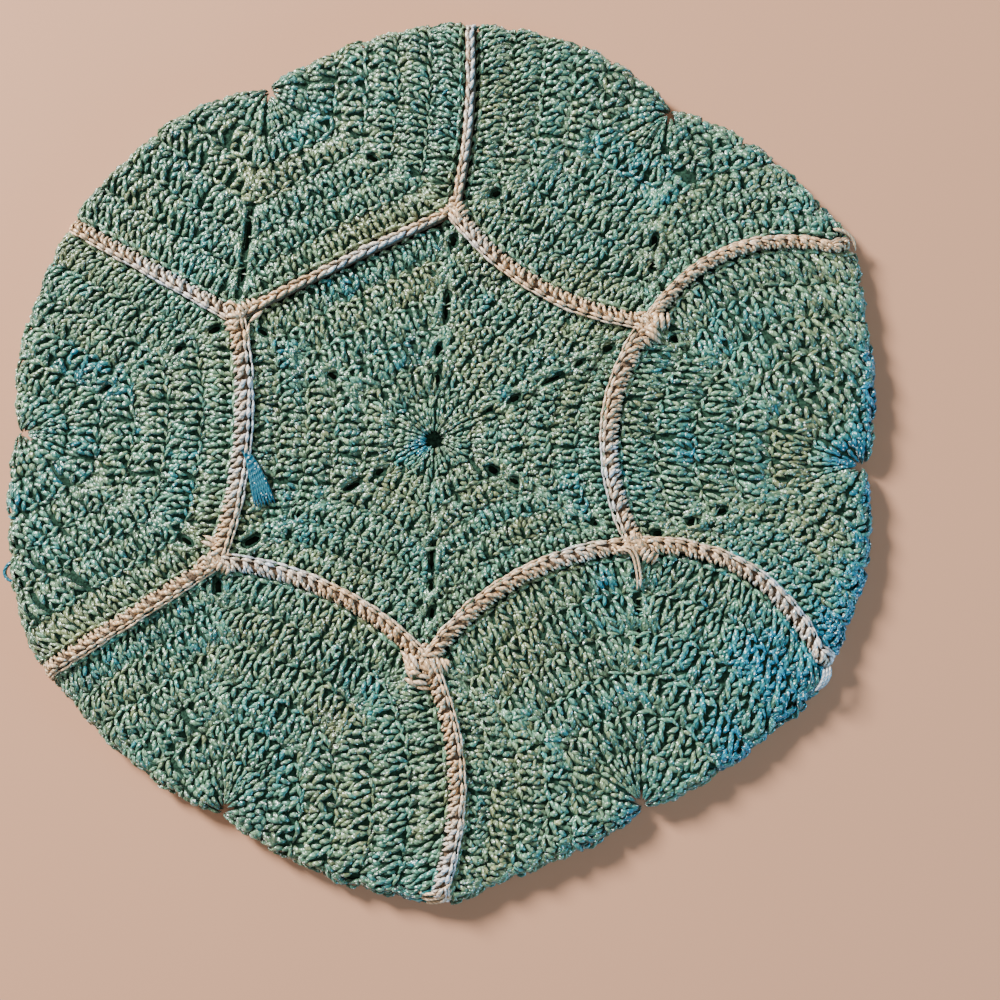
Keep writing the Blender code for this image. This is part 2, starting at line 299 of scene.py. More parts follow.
# %% Let the rim swell out where a spoke ends
# Each row: the place, how far it reaches, and how far the rim moves out.
SWELLS = (
    (88, -58, 9, 3.4), (3, 96, 13, 1.7), (93, 38, 16, 1.6), (-82, 54, 15, 1.9),
    (-92, -43, 10, 1.9), (0, -99, 12, 1.8), (98, 12, 12, 1.0), (-60, 76, 12, 1.2),
)


def swollen(cloth):
    """The same map with its outer parts let out, as far as the table says."""
    plan = cloth.points[..., :2]
    shift = sum(out * np.exp(-(((plan - (x, y)) ** 2).sum(-1) / reach ** 2)) for x, y, reach, out in SWELLS)
    points = cloth.points.copy()
    points[..., :2] += shift[..., None] * unit(plan)
    return Cloth(points, cloth.normals)


CLOTHS = {
    "middle_front": middle_cloth(middle_edge(front_ring), np.zeros(2), True),
    "middle_back": middle_cloth(middle_edge(back_ring), np.array(BACK_HOLE_PLACE), False),
}
for k, sector in enumerate(SECTORS):
    CLOTHS["folded_" + sector.place] = swollen(folded_cloth(k))
print("maps:", ", ".join(CLOTHS))


# %% Read a place off a map
def on_cloth(cloth, sides, rounds):
    """Points and normals of the cloth at so many sides round and so many rounds out."""
    x = np.mod(sides, 6) * MAP_SIDE
    y = rounds / ROUNDS * MAP_ROWS
    i = np.minimum(x.astype(int), 6 * MAP_SIDE - 1)
    j = np.clip(np.floor(y).astype(int), 0, MAP_ROWS - 1)
    fx, fy = (x - i)[..., None], (y - j)[..., None]

    def blend(grid):
        inner = grid[i, j] * (1 - fx) + grid[i + 1, j] * fx
        return inner * (1 - fy) + (grid[i, j + 1] * (1 - fx) + grid[i + 1, j + 1] * fx) * fy

    return blend(cloth.points), unit(blend(cloth.normals))


# %% [markdown]
# ## Yarn and cord
# The yarn is dyed in stretches of sage, mint, teal and blue, twisted from fine plies, and has
# a glittering thread spun in. Each strand's mesh carries what the material needs: how far along
# and how far round the strand a point lies, which draws the plies and the painted highlight and
# shade across each strand, the dye at that stitch, and a tone of its own, which also holds painted
# shade low in each stitch. That is steadier than a picture wrapped over the mesh, and it needs no UVs.

# %% A few shorthands for shader nodes
def new_material(name):
    material = bpy.data.materials.new(name)
    material.use_nodes = True
    return material, material.node_tree


def node(tree, kind, inputs=(), **settings):
    made = tree.nodes.new(kind)
    for key, value in settings.items():
        setattr(made, key, value)
    for socket, value in dict(inputs).items():
        if isinstance(value, bpy.types.NodeSocket):
            tree.links.new(value, made.inputs[socket])
        else:
            made.inputs[socket].default_value = value
    return made


def ramp(tree, factor, stops):
    made = node(tree, "ShaderNodeValToRGB", {"Fac": factor})
    elements = made.color_ramp.elements
    while len(elements) < len(stops):
        elements.new(0.5)
    for element, (place, colour) in zip(elements, stops):
        element.position = place
        element.color = (*colour, 1) if len(colour) == 3 else colour
    return made.outputs["Color"]


def maths(tree, operation, *values):
    made = node(tree, "ShaderNodeMath", dict(enumerate(values)), operation=operation)
    return made.outputs[0]


def mixed(tree, blend, factor, a, b):
    made = node(tree, "ShaderNodeMix", {0: factor, 6: a, 7: b}, data_type="RGBA", blend_type=blend)
    return made.outputs[2]


def grey(value):
    return (value, value, value)


# %% The plies of a strand, shared by yarn and cord
def plies(tree, pitch):
    """Height of the twisted plies, from the strand's own length and turn."""
    lie = node(tree, "ShaderNodeAttribute", attribute_name="lie").outputs["Vector"]
    split = node(tree, "ShaderNodeSeparateXYZ", {0: lie})
    phase = maths(tree, "DIVIDE", split.outputs[0], pitch)
    phase = maths(tree, "MULTIPLY_ADD", split.outputs[1], 4.0, phase)
    wave = maths(tree, "SINE", maths(tree, "MULTIPLY", phase, 2 * math.pi))
    return maths(tree, "MULTIPLY_ADD", wave, 0.5, 0.5)


# Painted light: a strand's crest is coloured lighter and its sides darker, as light falls on it.
PAINTED_CREST_LIGHT_AND_SIDE_SHADE = ((0.0, grey(1.4)), (0.35, grey(1.0)), (1.0, (0.38, 0.46, 0.41)))


def crest_to_side_mask(tree):
    """0 on the crest of a strand and 1 where its sides tuck under: the mask of the painted highlight on the
    crest and the painted shade down the sides.
    """
    lie = node(tree, "ShaderNodeAttribute", attribute_name="lie").outputs["Vector"]
    turn = node(tree, "ShaderNodeSeparateXYZ", {0: lie}).outputs[1]
    return maths(tree, "MULTIPLY", maths(tree, "ABSOLUTE", maths(tree, "ADD", turn, -0.25)), 3.3)


def strand_material(name, dyes, pitch, depth, roughness, glitter):
    material, tree = new_material(name)
    shader = tree.nodes["Principled BSDF"]
    place = node(tree, "ShaderNodeTexCoord").outputs["Object"]
    hue = node(tree, "ShaderNodeAttribute", attribute_name="dye").outputs["Fac"]
    tone = node(tree, "ShaderNodeAttribute", attribute_name="tone").outputs["Fac"]
    mottle = node(tree, "ShaderNodeTexNoise", {"Vector": place, "Scale": 900.0, "Detail": 2.0})
    hue = maths(tree, "ADD", hue, maths(tree, "MULTIPLY_ADD", mottle.outputs["Fac"], 0.24, -0.12))
    colour = ramp(tree, hue, dyes)
    colour = mixed(tree, "MULTIPLY", 1.0, colour, ramp(tree, tone, ((0, grey(0.6)), (1, grey(1.5)))))
    ply = plies(tree, pitch)
    # The grooves between the plies are coloured darker and the ply tops a little lighter: painted shade and
    # highlight.
    colour = mixed(tree, "MULTIPLY", 1.0, colour, ramp(tree, ply, ((0, grey(0.62)), (0.6, grey(1.08)))))
    # Painted highlight on the crest and painted shade down the sides.
    colour = mixed(tree, "MULTIPLY", 1.0, colour, ramp(tree, crest_to_side_mask(tree), PAINTED_CREST_LIGHT_AND_SIDE_SHADE))
    # Flecks of the glittering thread, coloured near white: partly the thread's own pale colour, partly
    # painted glints.
    cells = node(tree, "ShaderNodeTexVoronoi", {"Vector": place, "Scale": 2500.0})
    glint_fleck = node(tree, "ShaderNodeSeparateColor", {0: cells.outputs["Color"]}).outputs[0]
    near = maths(tree, "LESS_THAN", cells.outputs["Distance"], 0.47)
    glint_fleck = maths(tree, "MULTIPLY", maths(tree, "GREATER_THAN", glint_fleck, 1 - glitter), near)
    colour = mixed(tree, "MIX", glint_fleck, colour, (0.92, 1.0, 0.95, 1))
    tree.links.new(colour, shader.inputs["Base Color"])
    rough = maths(tree, "MULTIPLY_ADD", glint_fleck, -0.3, roughness)
    tree.links.new(rough, shader.inputs["Roughness"])
    shader.inputs["Specular IOR Level"].default_value = 0.85
    shader.inputs["Specular Tint"].default_value = (0.86, 1.0, 0.92, 1)
    shader.inputs["Sheen Weight"].default_value = 0.25
    shader.inputs["Sheen Roughness"].default_value = 0.4
    fibres = node(tree, "ShaderNodeTexNoise", {"Vector": place, "Scale": 4200.0, "Detail": 2.0})
    height = maths(tree, "MULTIPLY_ADD", fibres.outputs["Fac"], 0.35, ply)
    bump = node(tree, "ShaderNodeBump", {"Height": height, "Distance": depth * MM, "Strength": 1.0})
    tree.links.new(bump.outputs["Normal"], shader.inputs["Normal"])
    return material


YARN_DYES = (
    (0.0, (0.165, 0.195, 0.088)), (0.3, (0.112, 0.20, 0.115)), (0.55, (0.070, 0.194, 0.131)),
    (0.78, (0.020, 0.172, 0.176)), (1.0, (0.003, 0.142, 0.22)),
)
CORD_DYES = (
    (0.0, (0.56, 0.315, 0.14)), (0.35, (0.62, 0.40, 0.23)), (0.65, (0.62, 0.49, 0.38)),
    (1.0, (0.47, 0.52, 0.60)),
)
yarn = strand_material("Dyed_twisted_yarn", YARN_DYES, 1.3, 0.08, 0.28, 0.085)
cord = strand_material("Pearly_seam_cord", CORD_DYES, 1.1, 0.05, 0.36, 0.03)
print("materials:", yarn.name, cord.name)


# %% Painted shade: the dark ground under the stitches
def painted_shade_material(name, deep, high):
    material, tree = new_material(name)
    shader = tree.nodes["Principled BSDF"]
    place = node(tree, "ShaderNodeTexCoord").outputs["Object"]
    fuzz = node(tree, "ShaderNodeTexNoise", {"Vector": place, "Scale": 1600.0, "Detail": 4.0})
    tree.links.new(ramp(tree, fuzz.outputs["Fac"], ((0.35, deep), (0.7, high))), shader.inputs["Base Color"])
    shader.inputs["Roughness"].default_value = 0.9
    shader.inputs["Specular IOR Level"].default_value = 0.05
    bump = node(tree, "ShaderNodeBump", {"Height": fuzz.outputs["Fac"], "Distance": 0.3 * MM})
    tree.links.new(bump.outputs["Normal"], shader.inputs["Normal"])
    return material


# Painted shade: the ground in the gaps of the yarn is coloured nearly black, and that of the cord dark brown.
yarn_gaps_painted_shade = painted_shade_material("Painted_shade_in_yarn_gaps", (0.008, 0.021, 0.014), (0.030, 0.076, 0.050))
cord_gaps_painted_shade = painted_shade_material("Painted_shade_in_cord_gaps", (0.07, 0.046, 0.030), (0.22, 0.150, 0.100))

# %% [markdown]
# ## Meshes from arrays
# A pad has some three thousand stitches, each of several strands. Adding them one by one with
# operators would take hours, so whole arrays of points and faces go into each mesh at once.


# %% Turn arrays into a piece
def new_piece(name, points, faces, material, layers=()):
    """A mesh object from points in millimetres and blocks of faces with as many corners each."""
    mesh = bpy.data.meshes.new(name)
    mesh.vertices.add(len(points))
    mesh.vertices.foreach_set("co", (points * MM).astype(np.float32).ravel())
    corners = np.concatenate([block.ravel() for block in faces])
    sizes = np.concatenate([np.full(len(block), block.shape[1]) for block in faces])
    mesh.loops.add(len(corners))
    mesh.loops.foreach_set("vertex_index", corners.astype(np.int32))
    mesh.polygons.add(len(sizes))
    starts = np.concatenate(([0], np.cumsum(sizes)[:-1]))
    mesh.polygons.foreach_set("loop_start", starts.astype(np.int32))
    for key, values in dict(layers).items():
        kind, field = ("FLOAT_VECTOR", "vector") if values.ndim == 2 else ("FLOAT", "value")
        layer = mesh.attributes.new(key, kind, "POINT")
        layer.data.foreach_set(field, values.astype(np.float32).ravel())
    mesh.update(calc_edges=True)
    mesh.validate()
    mesh.shade_smooth()
    mesh.materials.append(material)
    piece = bpy.data.objects.new(name, mesh)
    bpy.context.scene.collection.objects.link(piece)
    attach(piece, "root")
    return piece


# %% [markdown]
# ## The cloth of each motif
# Under the stitches lies the motif itself: a thin sheet that follows the solid's form, with the
# swell of each round, the ring hole and the fold over the rim. It shows only in the gaps, so
# its finish is painted shade: it is coloured as the shaded yarn down there.

# %% Lay the eight sheets
FRONT_DEPTH = 0.8
BACK_DEPTH = 0.75
BACK_FACING = -0.3
SHEET_THICKNESS = 0.9


def sheet_faces(columns, rows):
    """Faces of a closed band: its outer skin, its inner skin, and the strips that join them."""
    c, r = np.meshgrid(np.arange(columns), np.arange(rows - 1), indexing="ij")
    d = (c + 1) % columns
    skin = np.stack((c * rows + r, c * rows + r + 1, d * rows + r + 1, d * rows + r), -1).reshape(-1, 4)
    inner = skin[:, ::-1] + columns * rows
    c = np.arange(columns)
    d = (c + 1) % columns
    strips = []
    for row, order in ((0, 1), (rows - 1, -1)):
        strip = [column * rows + row for column in (c, d, columns + d, columns + c)]
        strips.append(np.stack(strip, -1)[:, ::order])
    return np.vstack((skin, inner, *strips))


def lay_sheet(name, cloth, replaced):
    points, normals = cloth.points[:-1:2], cloth.normals[:-1:2]
    depth = np.where(normals[..., 2:] > BACK_FACING, FRONT_DEPTH, BACK_DEPTH)
    outer = points - depth * normals
    inner = points - (depth + SHEET_THICKNESS) * normals
    both = np.concatenate((outer.reshape(-1, 3), inner.reshape(-1, 3)))
    faces = sheet_faces(*points.shape[:2])
    piece = new_piece(name, both, [faces], yarn_gaps_painted_shade)
    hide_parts(replaced)
    return piece


for name, cloth in CLOTHS.items():
    if name.startswith("middle"):
        solid, slot = name.replace("middle", "centre_motif"), "sage_yarn"
    else:
        solid, slot = name.replace("folded", "folded_motif"), "teal_yarn"
    lay_sheet(name + "_cloth", cloth, solid)

# %% [markdown]
# ## Stitches
# Each round of tall stitches is a row of posts with a chain of loops along its top. Up close a
# post is a stack of four Vs of twisted yarn, with a loop that wraps them, two loops along its top
# and one strand low beside it that keeps the gap from looking bare. One table says where the
# strands of a stitch lie, in shares of its width and height, and every stitch is laid from it, a
# little unevenly, as hands do. The posts about a ring hole have a table of their own.

# %% Where every stitch of a motif stands
CORNER_WIDTH = 0.4
LEAN = 0.12


def stitches_in(round_number):
    """Posts on one side of a round. The first round's two stitches a side show both legs."""
    return 4 if round_number == 1 else 3 * round_number - 1


Places = namedtuple("Places", "rounds base top base_width top_width")


def stitch_places():
    found = []
    for number in range(1, ROUNDS + 1):
        count = stitches_in(number)
        width = 1 / (count + CORNER_WIDTH)
        i = np.arange(count)
        top = (CORNER_WIDTH / 2 + i + 0.5) * width
        if number == 1:
            below, base = width, top
        else:
            below = 1 / (stitches_in(number - 1) + CORNER_WIDTH)
            added = (count - stitches_in(number - 1)) / 2
            base = (CORNER_WIDTH / 2 + i + 0.5 - added) * below
        near = np.exp(-i / 1.2) - np.exp(-(count - 1 - i) / 1.2)
        top = top - LEAN * width * near
        for side in range(6):
            found.append(np.column_stack((np.full(count, number), side + base, side + top,
                                          np.full(count, below), np.full(count, width))))
    return Places(*np.vstack(found).T)


PLACES = stitch_places()
print("stitches in a motif:", len(PLACES.rounds), "in all:", 8 * len(PLACES.rounds))

# %% The strands of one stitch
Strand = namedtuple("Strand", "across up end_across end_up half_width lift bow")
STITCH = (
    Strand(0.03, -0.07, -0.36, 0.29, 0.60, -0.10, -0.08),
    Strand(0.01, -0.04, 0.39, 0.28, 0.57, -0.13, 0.07),
    Strand(0.47, -0.06, 0.52, 0.60, 0.62, -0.22, 0.03),
    Strand(-0.03, 0.15, -0.38, 0.52, 0.62, 0.04, -0.07),
    Strand(0.06, 0.18, 0.37, 0.52, 0.59, 0.00, 0.08),
    Strand(-0.36, 0.53, 0.16, 0.31, 0.42, 0.14, 0.04),
    Strand(-0.03, 0.38, -0.36, 0.75, 0.60, 0.12, -0.06),
    Strand(0.06, 0.41, 0.38, 0.74, 0.57, 0.06, 0.07),
    Strand(-0.05, 0.61, -0.37, 0.96, 0.60, 0.18, -0.06),
    Strand(0.05, 0.63, 0.37, 0.95, 0.57, 0.13, 0.07),
    Strand(-0.56, 0.87, 0.24, 1.02, 0.54, 0.30, 0.05),
    Strand(-0.24, 1.07, 0.54, 0.94, 0.46, 0.18, -0.04),
)
FIRST_ROUND = (
    Strand(0.00, -0.09, 0.05, 0.24, 0.96, 0.00, 0.05),
    Strand(-0.10, 0.14, -0.22, 0.47, 0.76, 0.06, -0.06),
    Strand(0.12, 0.16, 0.27, 0.45, 0.76, 0.02, 0.06),
    Strand(-0.08, 0.36, -0.31, 0.70, 0.68, 0.10, -0.06),
    Strand(0.10, 0.38, 0.32, 0.68, 0.66, 0.05, 0.06),
    Strand(-0.06, 0.60, -0.34, 0.98, 0.60, 0.13, -0.05),
    Strand(0.08, 0.62, 0.34, 0.96, 0.58, 0.08, 0.06),
    Strand(-0.56, 0.88, 0.26, 1.02, 0.50, 0.20, 0.0),
)
MIDDLE_FIRST_ROUND = [strand._replace(half_width=1.3 * strand.half_width) for strand in FIRST_ROUND]
FOLDED_FIRST_ROUND = [strand._replace(half_width=1.4 * strand.half_width) for strand in FIRST_ROUND]
CLOSED_HOLE = Strand(0.02, -0.24, 0.0, 0.12, 1.0, -0.05, 0.05)
EDGE_CHAIN = Strand(-0.60, 0.92, 0.62, 0.87, 0.62, 0.36, 0.05)
STATIONS = np.array((0.0, 0.2, 0.48, 0.78, 1.0))
FATNESS = np.array((0.0, 0.62, 1.0, 0.62, 0.0))
RING_ANGLES = np.radians((-32, 48, 132, 212))
RING_TURNS = np.array((-0.09, 0.13, 0.37, 0.59))


def ring_quads(rings, around):
    """Quads that join each ring of points to the next."""
    i, a = np.meshgrid(np.arange(rings - 1), np.arange(around), indexing="ij")
    b = (a + 1) % around
    corners = i * around + a, i * around + b, (i + 1) * around + b, (i + 1) * around + a
    return np.stack(corners, -1).reshape(-1, 4)


def strand_faces(count, rings, around):
    """Faces of many strands alike: a fan at each tip and quads between the rings."""
    a = np.arange(around)
    b = (a + 1) % around
    last = 1 + rings * around
    fans = np.vstack((np.stack((0 * a, 1 + b, 1 + a), -1),
                      np.stack((0 * a + last, last - around + a, last - around + b), -1)))
    offsets = np.arange(count)[:, None, None] * (last + 1)
    quads = 1 + ring_quads(rings, around)
    return (quads[None] + offsets).reshape(-1, 4), (fans[None] + offsets).reshape(-1, 3)


def strand_skin(path, normals, half_width, half_height):
    """Points of strands from their paths [strands, stations, 3], and how each point lies."""
    steps = np.linalg.norm(np.diff(path, axis=1), axis=2)
    along = np.concatenate((np.zeros((len(path), 1)), np.cumsum(steps, 1)), 1)
    forward = unit(np.gradient(path, axis=1))
    side = unit(np.cross(forward, normals))
    up = np.cross(side, forward)
    wide = (half_width[:, 1:-1, None] * np.cos(RING_ANGLES))[..., None]
    high = (half_height[:, 1:-1, None] * np.sin(RING_ANGLES))[..., None]
    rings = path[:, 1:-1, None] + wide * side[:, 1:-1, None] + high * up[:, 1:-1, None]
    count = len(path)
    points = np.concatenate((path[:, :1], rings.reshape(count, -1, 3), path[:, -1:]), 1)
    turns = np.tile(RING_TURNS, (count, path.shape[1] - 2, 1)).reshape(count, -1)
    ends = np.full((count, 1), 0.25)
    turns = np.concatenate((ends, turns, ends), 1)
    inner = np.repeat(along[:, 1:-1], len(RING_ANGLES), 1)
    lengths = np.concatenate((along[:, :1], inner, along[:, -1:]), 1)
    lie = np.stack((lengths, turns, np.zeros_like(turns)), -1)
    return points, lie


# %% Make one mesh of many strands
Batch = namedtuple("Batch", "path normals wide high dye tone")


def lay_strands(name, batches, material):
    """One piece of many strands. Each batch holds strands with as many stations each."""
    points, quads, fans, start = [], [], [], 0
    layers = {"lie": [], "dye": [], "tone": []}
    for batch in batches:
        skin, lie = strand_skin(batch.path, batch.normals, batch.wide, batch.high)
        skin[..., 2] = np.maximum(skin[..., 2], FLOOR_CLEAR)
        count, each = skin.shape[:2]
        blocks = strand_faces(count, batch.path.shape[1] - 2, len(RING_ANGLES))
        quads.append(blocks[0] + start)
        fans.append(blocks[1] + start)
        start += count * each
        points.append(skin.reshape(-1, 3))
        layers["lie"].append(lie.reshape(-1, 3))
        layers["dye"].append(np.repeat(batch.dye, each))
        layers["tone"].append(np.repeat(batch.tone, each))
    layers = {key: np.concatenate(values) for key, values in layers.items()}
    faces = np.concatenate(quads), np.concatenate(fans)
    piece = new_piece(name, np.concatenate(points), faces, material, layers)
    return piece


# %% [markdown]
# Where four sides of work meet, the corners are chain spaces: small dark openings that run out
# from the ring hole. Some are pulled wide open and a few have run together into slits. Rather than
# leave stitches out, the openings push the strands aside, as a needle's eye opens in real work.

# %% The openings that show
# Each row: the corner in sides round, the rounds from and to, and half the width.
OPENINGS = {
    "middle_front": (
        (5.97, 1.4, 1.5, 0.5), (5.93, 2.25, 2.35, 0.9), (5.94, 3.25, 3.7, 0.45), (5.96, 4.25, 4.35, 0.55),
        (5.96, 5.15, 5.25, 0.9), (1.03, 1.4, 1.5, 0.8), (1.03, 2.2, 2.3, 1), (0.98, 3.2, 3.9, 0.6),
        (0.98, 5.4, 5.5, 1), (2, 3, 3.1, 0.8), (2, 5.3, 5.4, 0.7), (3.05, 1.4, 1.5, 0.8),
        (3.03, 2.1, 2.4, 0.7), (3, 3.8, 3.8, 0.5), (3, 5.1, 5.3, 1.2), (4.02, 2.3, 2.4, 0.5),
        (4.02, 2.9, 3.6, 0.6), (4.02, 4.1, 4.2, 0.7), (4.03, 4.9, 5.1, 0.6), (5, 1.6, 1.7, 1),
        (5, 2.3, 2.4, 0.9), (5, 5, 5, 0.6),
    ),
    "folded_upper_left": (
        (2, 3, 5.6, 0.55), (1, 3.3, 3.5, 0.8),
    ),
    "folded_upper_right": (
        (2, 4.9, 5, 0.8), (1, 3.6, 3.8, 0.8), (1, 4.4, 4.5, 0.8),
    ),
    "folded_right": (
        (2, 5.4, 5.4, 1), (1, 5.5, 5.6, 0.8), (1, 4.4, 4.6, 0.7), (1, 3.6, 3.7, 0.7),
    ),
    "folded_lower_right": (
        (2, 2.1, 3.1, 0.12), (2, 3.6, 4.1, 0.35), (2, 4.35, 4.85, 0.55), (2, 5.4, 5.5, 0.9),
    ),
    "folded_lower_left": (
        (1, 5.4, 5.6, 1),
    ),
    "folded_left": (
        (1, 5.4, 5.6, 0.8), (1, 4.3, 4.5, 0.7), (1, 3.3, 3.5, 0.6), (1, 2.2, 2.4, 0.6), (2, 5.1, 5.3, 0.7),
    ),
}
OPENING_REACH = 2.2


def push_aside(points, motif):
    """Moves the middles of strands, or any points, away from the lines of a motif's openings."""
    for corner, inner, outer, half_width in OPENINGS.get(motif, ()):
        ends, _ = on_cloth(CLOTHS[motif], np.full(2, float(corner)), np.array((inner, outer + 0.01)))
        line = ends[1] - ends[0]
        share = np.clip((points - ends[0]) @ line / (line @ line), 0, 1)
        away = points - (ends[0] + share[..., None] * line)
        away[..., 2] = 0
        distance = np.linalg.norm(away, axis=-1, keepdims=True)
        spread = (half_width + 0.5) * np.exp(-((distance / OPENING_REACH) ** 2))
        points = points + unit(away) * (np.sqrt(distance ** 2 + spread ** 2) - distance)
    return points


# %% Lay the stitches
STITCH_WIDTH = 2.8
STRAND_RADIUS = 0.5
STRAND_HEIGHT = 0.44
STRAND_SINK = 0.85
TIP_SINK = 0.25
FLOOR_CLEAR = 0.03
FLAT_RISE = 0.07
RIM_RISE = 0.32
RIM_LIFT = 0.45
FOOT_SHADE = 0.6
DYE_MEAN, DYE_SWING, DYE_SLIP = 0.36, 1.1, 0.12
HAND_SWAY, ACROSS_SLIP, SLANT_SLIP, UP_SLIP = 0.10, 0.05, 0.16, 0.03
WIDTH_SLIP, SINK_SLIP, ARCH = 0.1, 0.07, 0.38
TONE_MEAN, HAND_TONE, TONE_SLIP = 0.48, 0.13, 0.22
Hand = namedtuple("Hand", "dye sway rise tone")


def smooth_noise(draws, length):
    """Values between 0 and 1 that wander slowly along a row."""
    rough = draws.random(length + 12)
    return np.convolve(rough, np.hanning(11) / np.hanning(11).sum(), "same")[6:6 + length]


def dye_along(draws):
    """The dye of each stitch: long stretches along each round, with blue ones now and then."""
    found = np.empty(len(PLACES.rounds))
    for number in range(1, ROUNDS + 1):
        mine = np.flatnonzero(PLACES.rounds == number)
        found[mine] = (smooth_noise(draws, len(mine)) - 0.5) * DYE_SWING + DYE_MEAN
    return found


# Each row: the place, how far the blue reaches, and how strong it is.
BLUE_PLACES = (
    (81, -57, 14, 0.5), (68, -68, 9, 0.4), (45, -83, 4, 0.5), (94, -2, 4, 0.5), (34, -91, 7, 0.35),
    (57, -80, 7, 0.4), (82, 54, 5, 0.3), (70, 55, 3, 0.3), (16, 10, 2, 0.5), (15, 1, 3, 0.3),
    (0, -12, 2.5, 0.3), (6, -15, 2.5, 0.3), (-3, -1, 2.2, 0.75), (-7, 7, 1.8, 0.4), (50, 17, 4, 0.25),
    (-28, 80, 4, 0.25), (37, 69, 3, 0.25), (51, 75, 3, 0.3), (-88, 15, 5, 0.2), (-91, -21, 6, 0.22),
    (99, 18, 5, 0.7), (100, 7, 5, 0.7), (100, -12, 6, 0.7), (99, -22, 7, 0.7), (97, -32, 7, 0.65),
    (94, -42, 8, 0.6), (66, -84, 8, 0.45), (50, -90, 7, 0.45), (90, -50, 9, 0.45), (76, -78, 8, 0.45),
    (98, 28, 4, 0.35), (58, -3, 3.5, 0.35), (39, -32, 3.5, 0.5), (91, -5, 3, 0.6), (67, -28, 4, 0.25),
    (72, -48, 7, 0.35),
)


def blue_at(points):
    """How much bluer the yarn is made at some places: stretches of blue yarn, and a blue band along the right
    and lower right of the rim.
    """
    found = np.zeros(len(points))
    front = np.clip(points[:, 2] - 1, 0, 1)
    for x, y, reach, strength in BLUE_PLACES:
        away = np.hypot(points[:, 0] - x, points[:, 1] - y)
        found += front * strength * np.exp(-((away / reach) ** 2))
    return found


def stitch_batch(name, strand, which, hand, draws):
    """The same strand of some stitches of a motif. A hand holds what all its strands share."""
    cloth = CLOTHS[name]
    places = Places(*(values[which, None] for values in PLACES))
    jitter = draws.normal(0, 1, (len(which), 7))
    u = STATIONS
    across = strand.across + (strand.end_across - strand.across) * u
    across = across + strand.bow * (1 + jitter[:, 6:7]) * 4 * u * (1 - u)
    across = across + HAND_SWAY * hand.sway[which, None] + ACROSS_SLIP * jitter[:, :1]
    across = across + SLANT_SLIP * jitter[:, 1:2] * (u - 0.5)
    up = strand.up + (strand.end_up - strand.up) * u
    up = up + UP_SLIP * jitter[:, 2:3]
    width = places.base_width + (places.top_width - places.base_width) * up
    sides = places.base + (places.top - places.base) * up + across * width
    rounds = places.rounds - 1 + up
    path, normals = on_cloth(cloth, sides, rounds)
    ahead, _ = on_cloth(cloth, sides + 0.5 * width, rounds)
    real_width = 2 * np.linalg.norm(ahead - path, axis=2)
    wide = strand.half_width * np.clip(real_width / STITCH_WIDTH, 0.42, 1.3)
    wide = wide * (1 + WIDTH_SLIP * jitter[:, 3:4]) * FATNESS
    high = STRAND_HEIGHT * (wide / STRAND_RADIUS) ** 0.5
    sink = STRAND_SINK - strand.lift - ARCH * np.sin(math.pi * u) ** 0.7 + SINK_SLIP * jitter[:, 4:5]
    sink = sink + np.where(FATNESS > 0, 0, TIP_SINK)
    rise = FLAT_RISE + (RIM_RISE - FLAT_RISE) * (1 - np.abs(normals[..., 2]))
    sink = sink - rise * hand.rise[which, None] - RIM_LIFT * (1 - np.abs(normals[..., 2]))
    # Strands low in a stitch are coloured darker: painted shade in the groove between rounds.
    tone = TONE_MEAN + FOOT_SHADE * min(strand.up - 0.3, 0.15)
    tone = tone + HAND_TONE * hand.tone[which] + TONE_SLIP * jitter[:, 5]
    path = path - sink[..., None] * normals
    middles = path[:, len(u) // 2]
    path = path + (push_aside(middles, name) - middles)[:, None]
    path = push_aside(path, name)
    dye = hand.dye[which] + DYE_SLIP * draws.normal(0, 1, len(which)) + blue_at(middles)
    return Batch(path, normals, wide, high, np.clip(dye, 0, 1), np.clip(tone, 0, 1))


def lay_stitches(name, seed):
    draws = np.random.default_rng(seed)
    hand = Hand(dye_along(draws), *draws.normal(0, 1, (3, len(PLACES.rounds))))
    first, later = np.flatnonzero(PLACES.rounds == 1), np.flatnonzero(PLACES.rounds > 1)
    batches = [stitch_batch(name, strand, later, hand, draws) for strand in STITCH]
    if name.startswith("middle"):
        slot = "sage_yarn"
        batches += [stitch_batch(name, strand, first, hand, draws) for strand in MIDDLE_FIRST_ROUND]
    else:
        slot, last = "teal_yarn", np.flatnonzero(PLACES.rounds == ROUNDS)
        batches += [stitch_batch(name, strand, first, hand, draws)
                    for strand in (*FOLDED_FIRST_ROUND, CLOSED_HOLE)]
        batches.append(stitch_batch(name, EDGE_CHAIN, last, hand, draws))
    return lay_strands(name + "_stitches", batches, yarn)


# %% [markdown]
# Light hardly reaches the bottom of an opening. Cutting a hole would show the floor, which isn't
# seen there, so each opening gets a flat strip a little way down, coloured nearly black and glossless:
# painted shade.

# %% Paint the shade at the bottom of the openings
pit = new_material("Painted_shade_of_the_openings")[0]
pit_inputs = pit.node_tree.nodes["Principled BSDF"].inputs
pit_inputs["Base Color"].default_value = (0.002, 0.003, 0.002, 1)
pit_inputs["Specular IOR Level"].default_value = 0.0
PIT_DEPTH = 0.72


def lay_painted_shade_pits(name):
    """Painted shade at the bottom of a motif's openings, as flat dark strands."""
    corner, inner, outer, half = np.array(OPENINGS[name], float).T[..., None]
    corners = np.repeat(corner, len(STATIONS), 1)
    reach = half / 10
    rounds = inner - reach + (outer - inner + 2 * reach) * STATIONS
    path, normals = on_cloth(CLOTHS[name], corners, rounds)
    path = path - PIT_DEPTH * normals
    wide = (0.7 * half + 0.1) * np.where(FATNESS > 0, 1, 0)
    dark = np.zeros(len(half))
    batch = Batch(path, normals, wide, 0.1 * wide, dark, dark)
    return lay_strands(name + "_openings", [batch], pit)


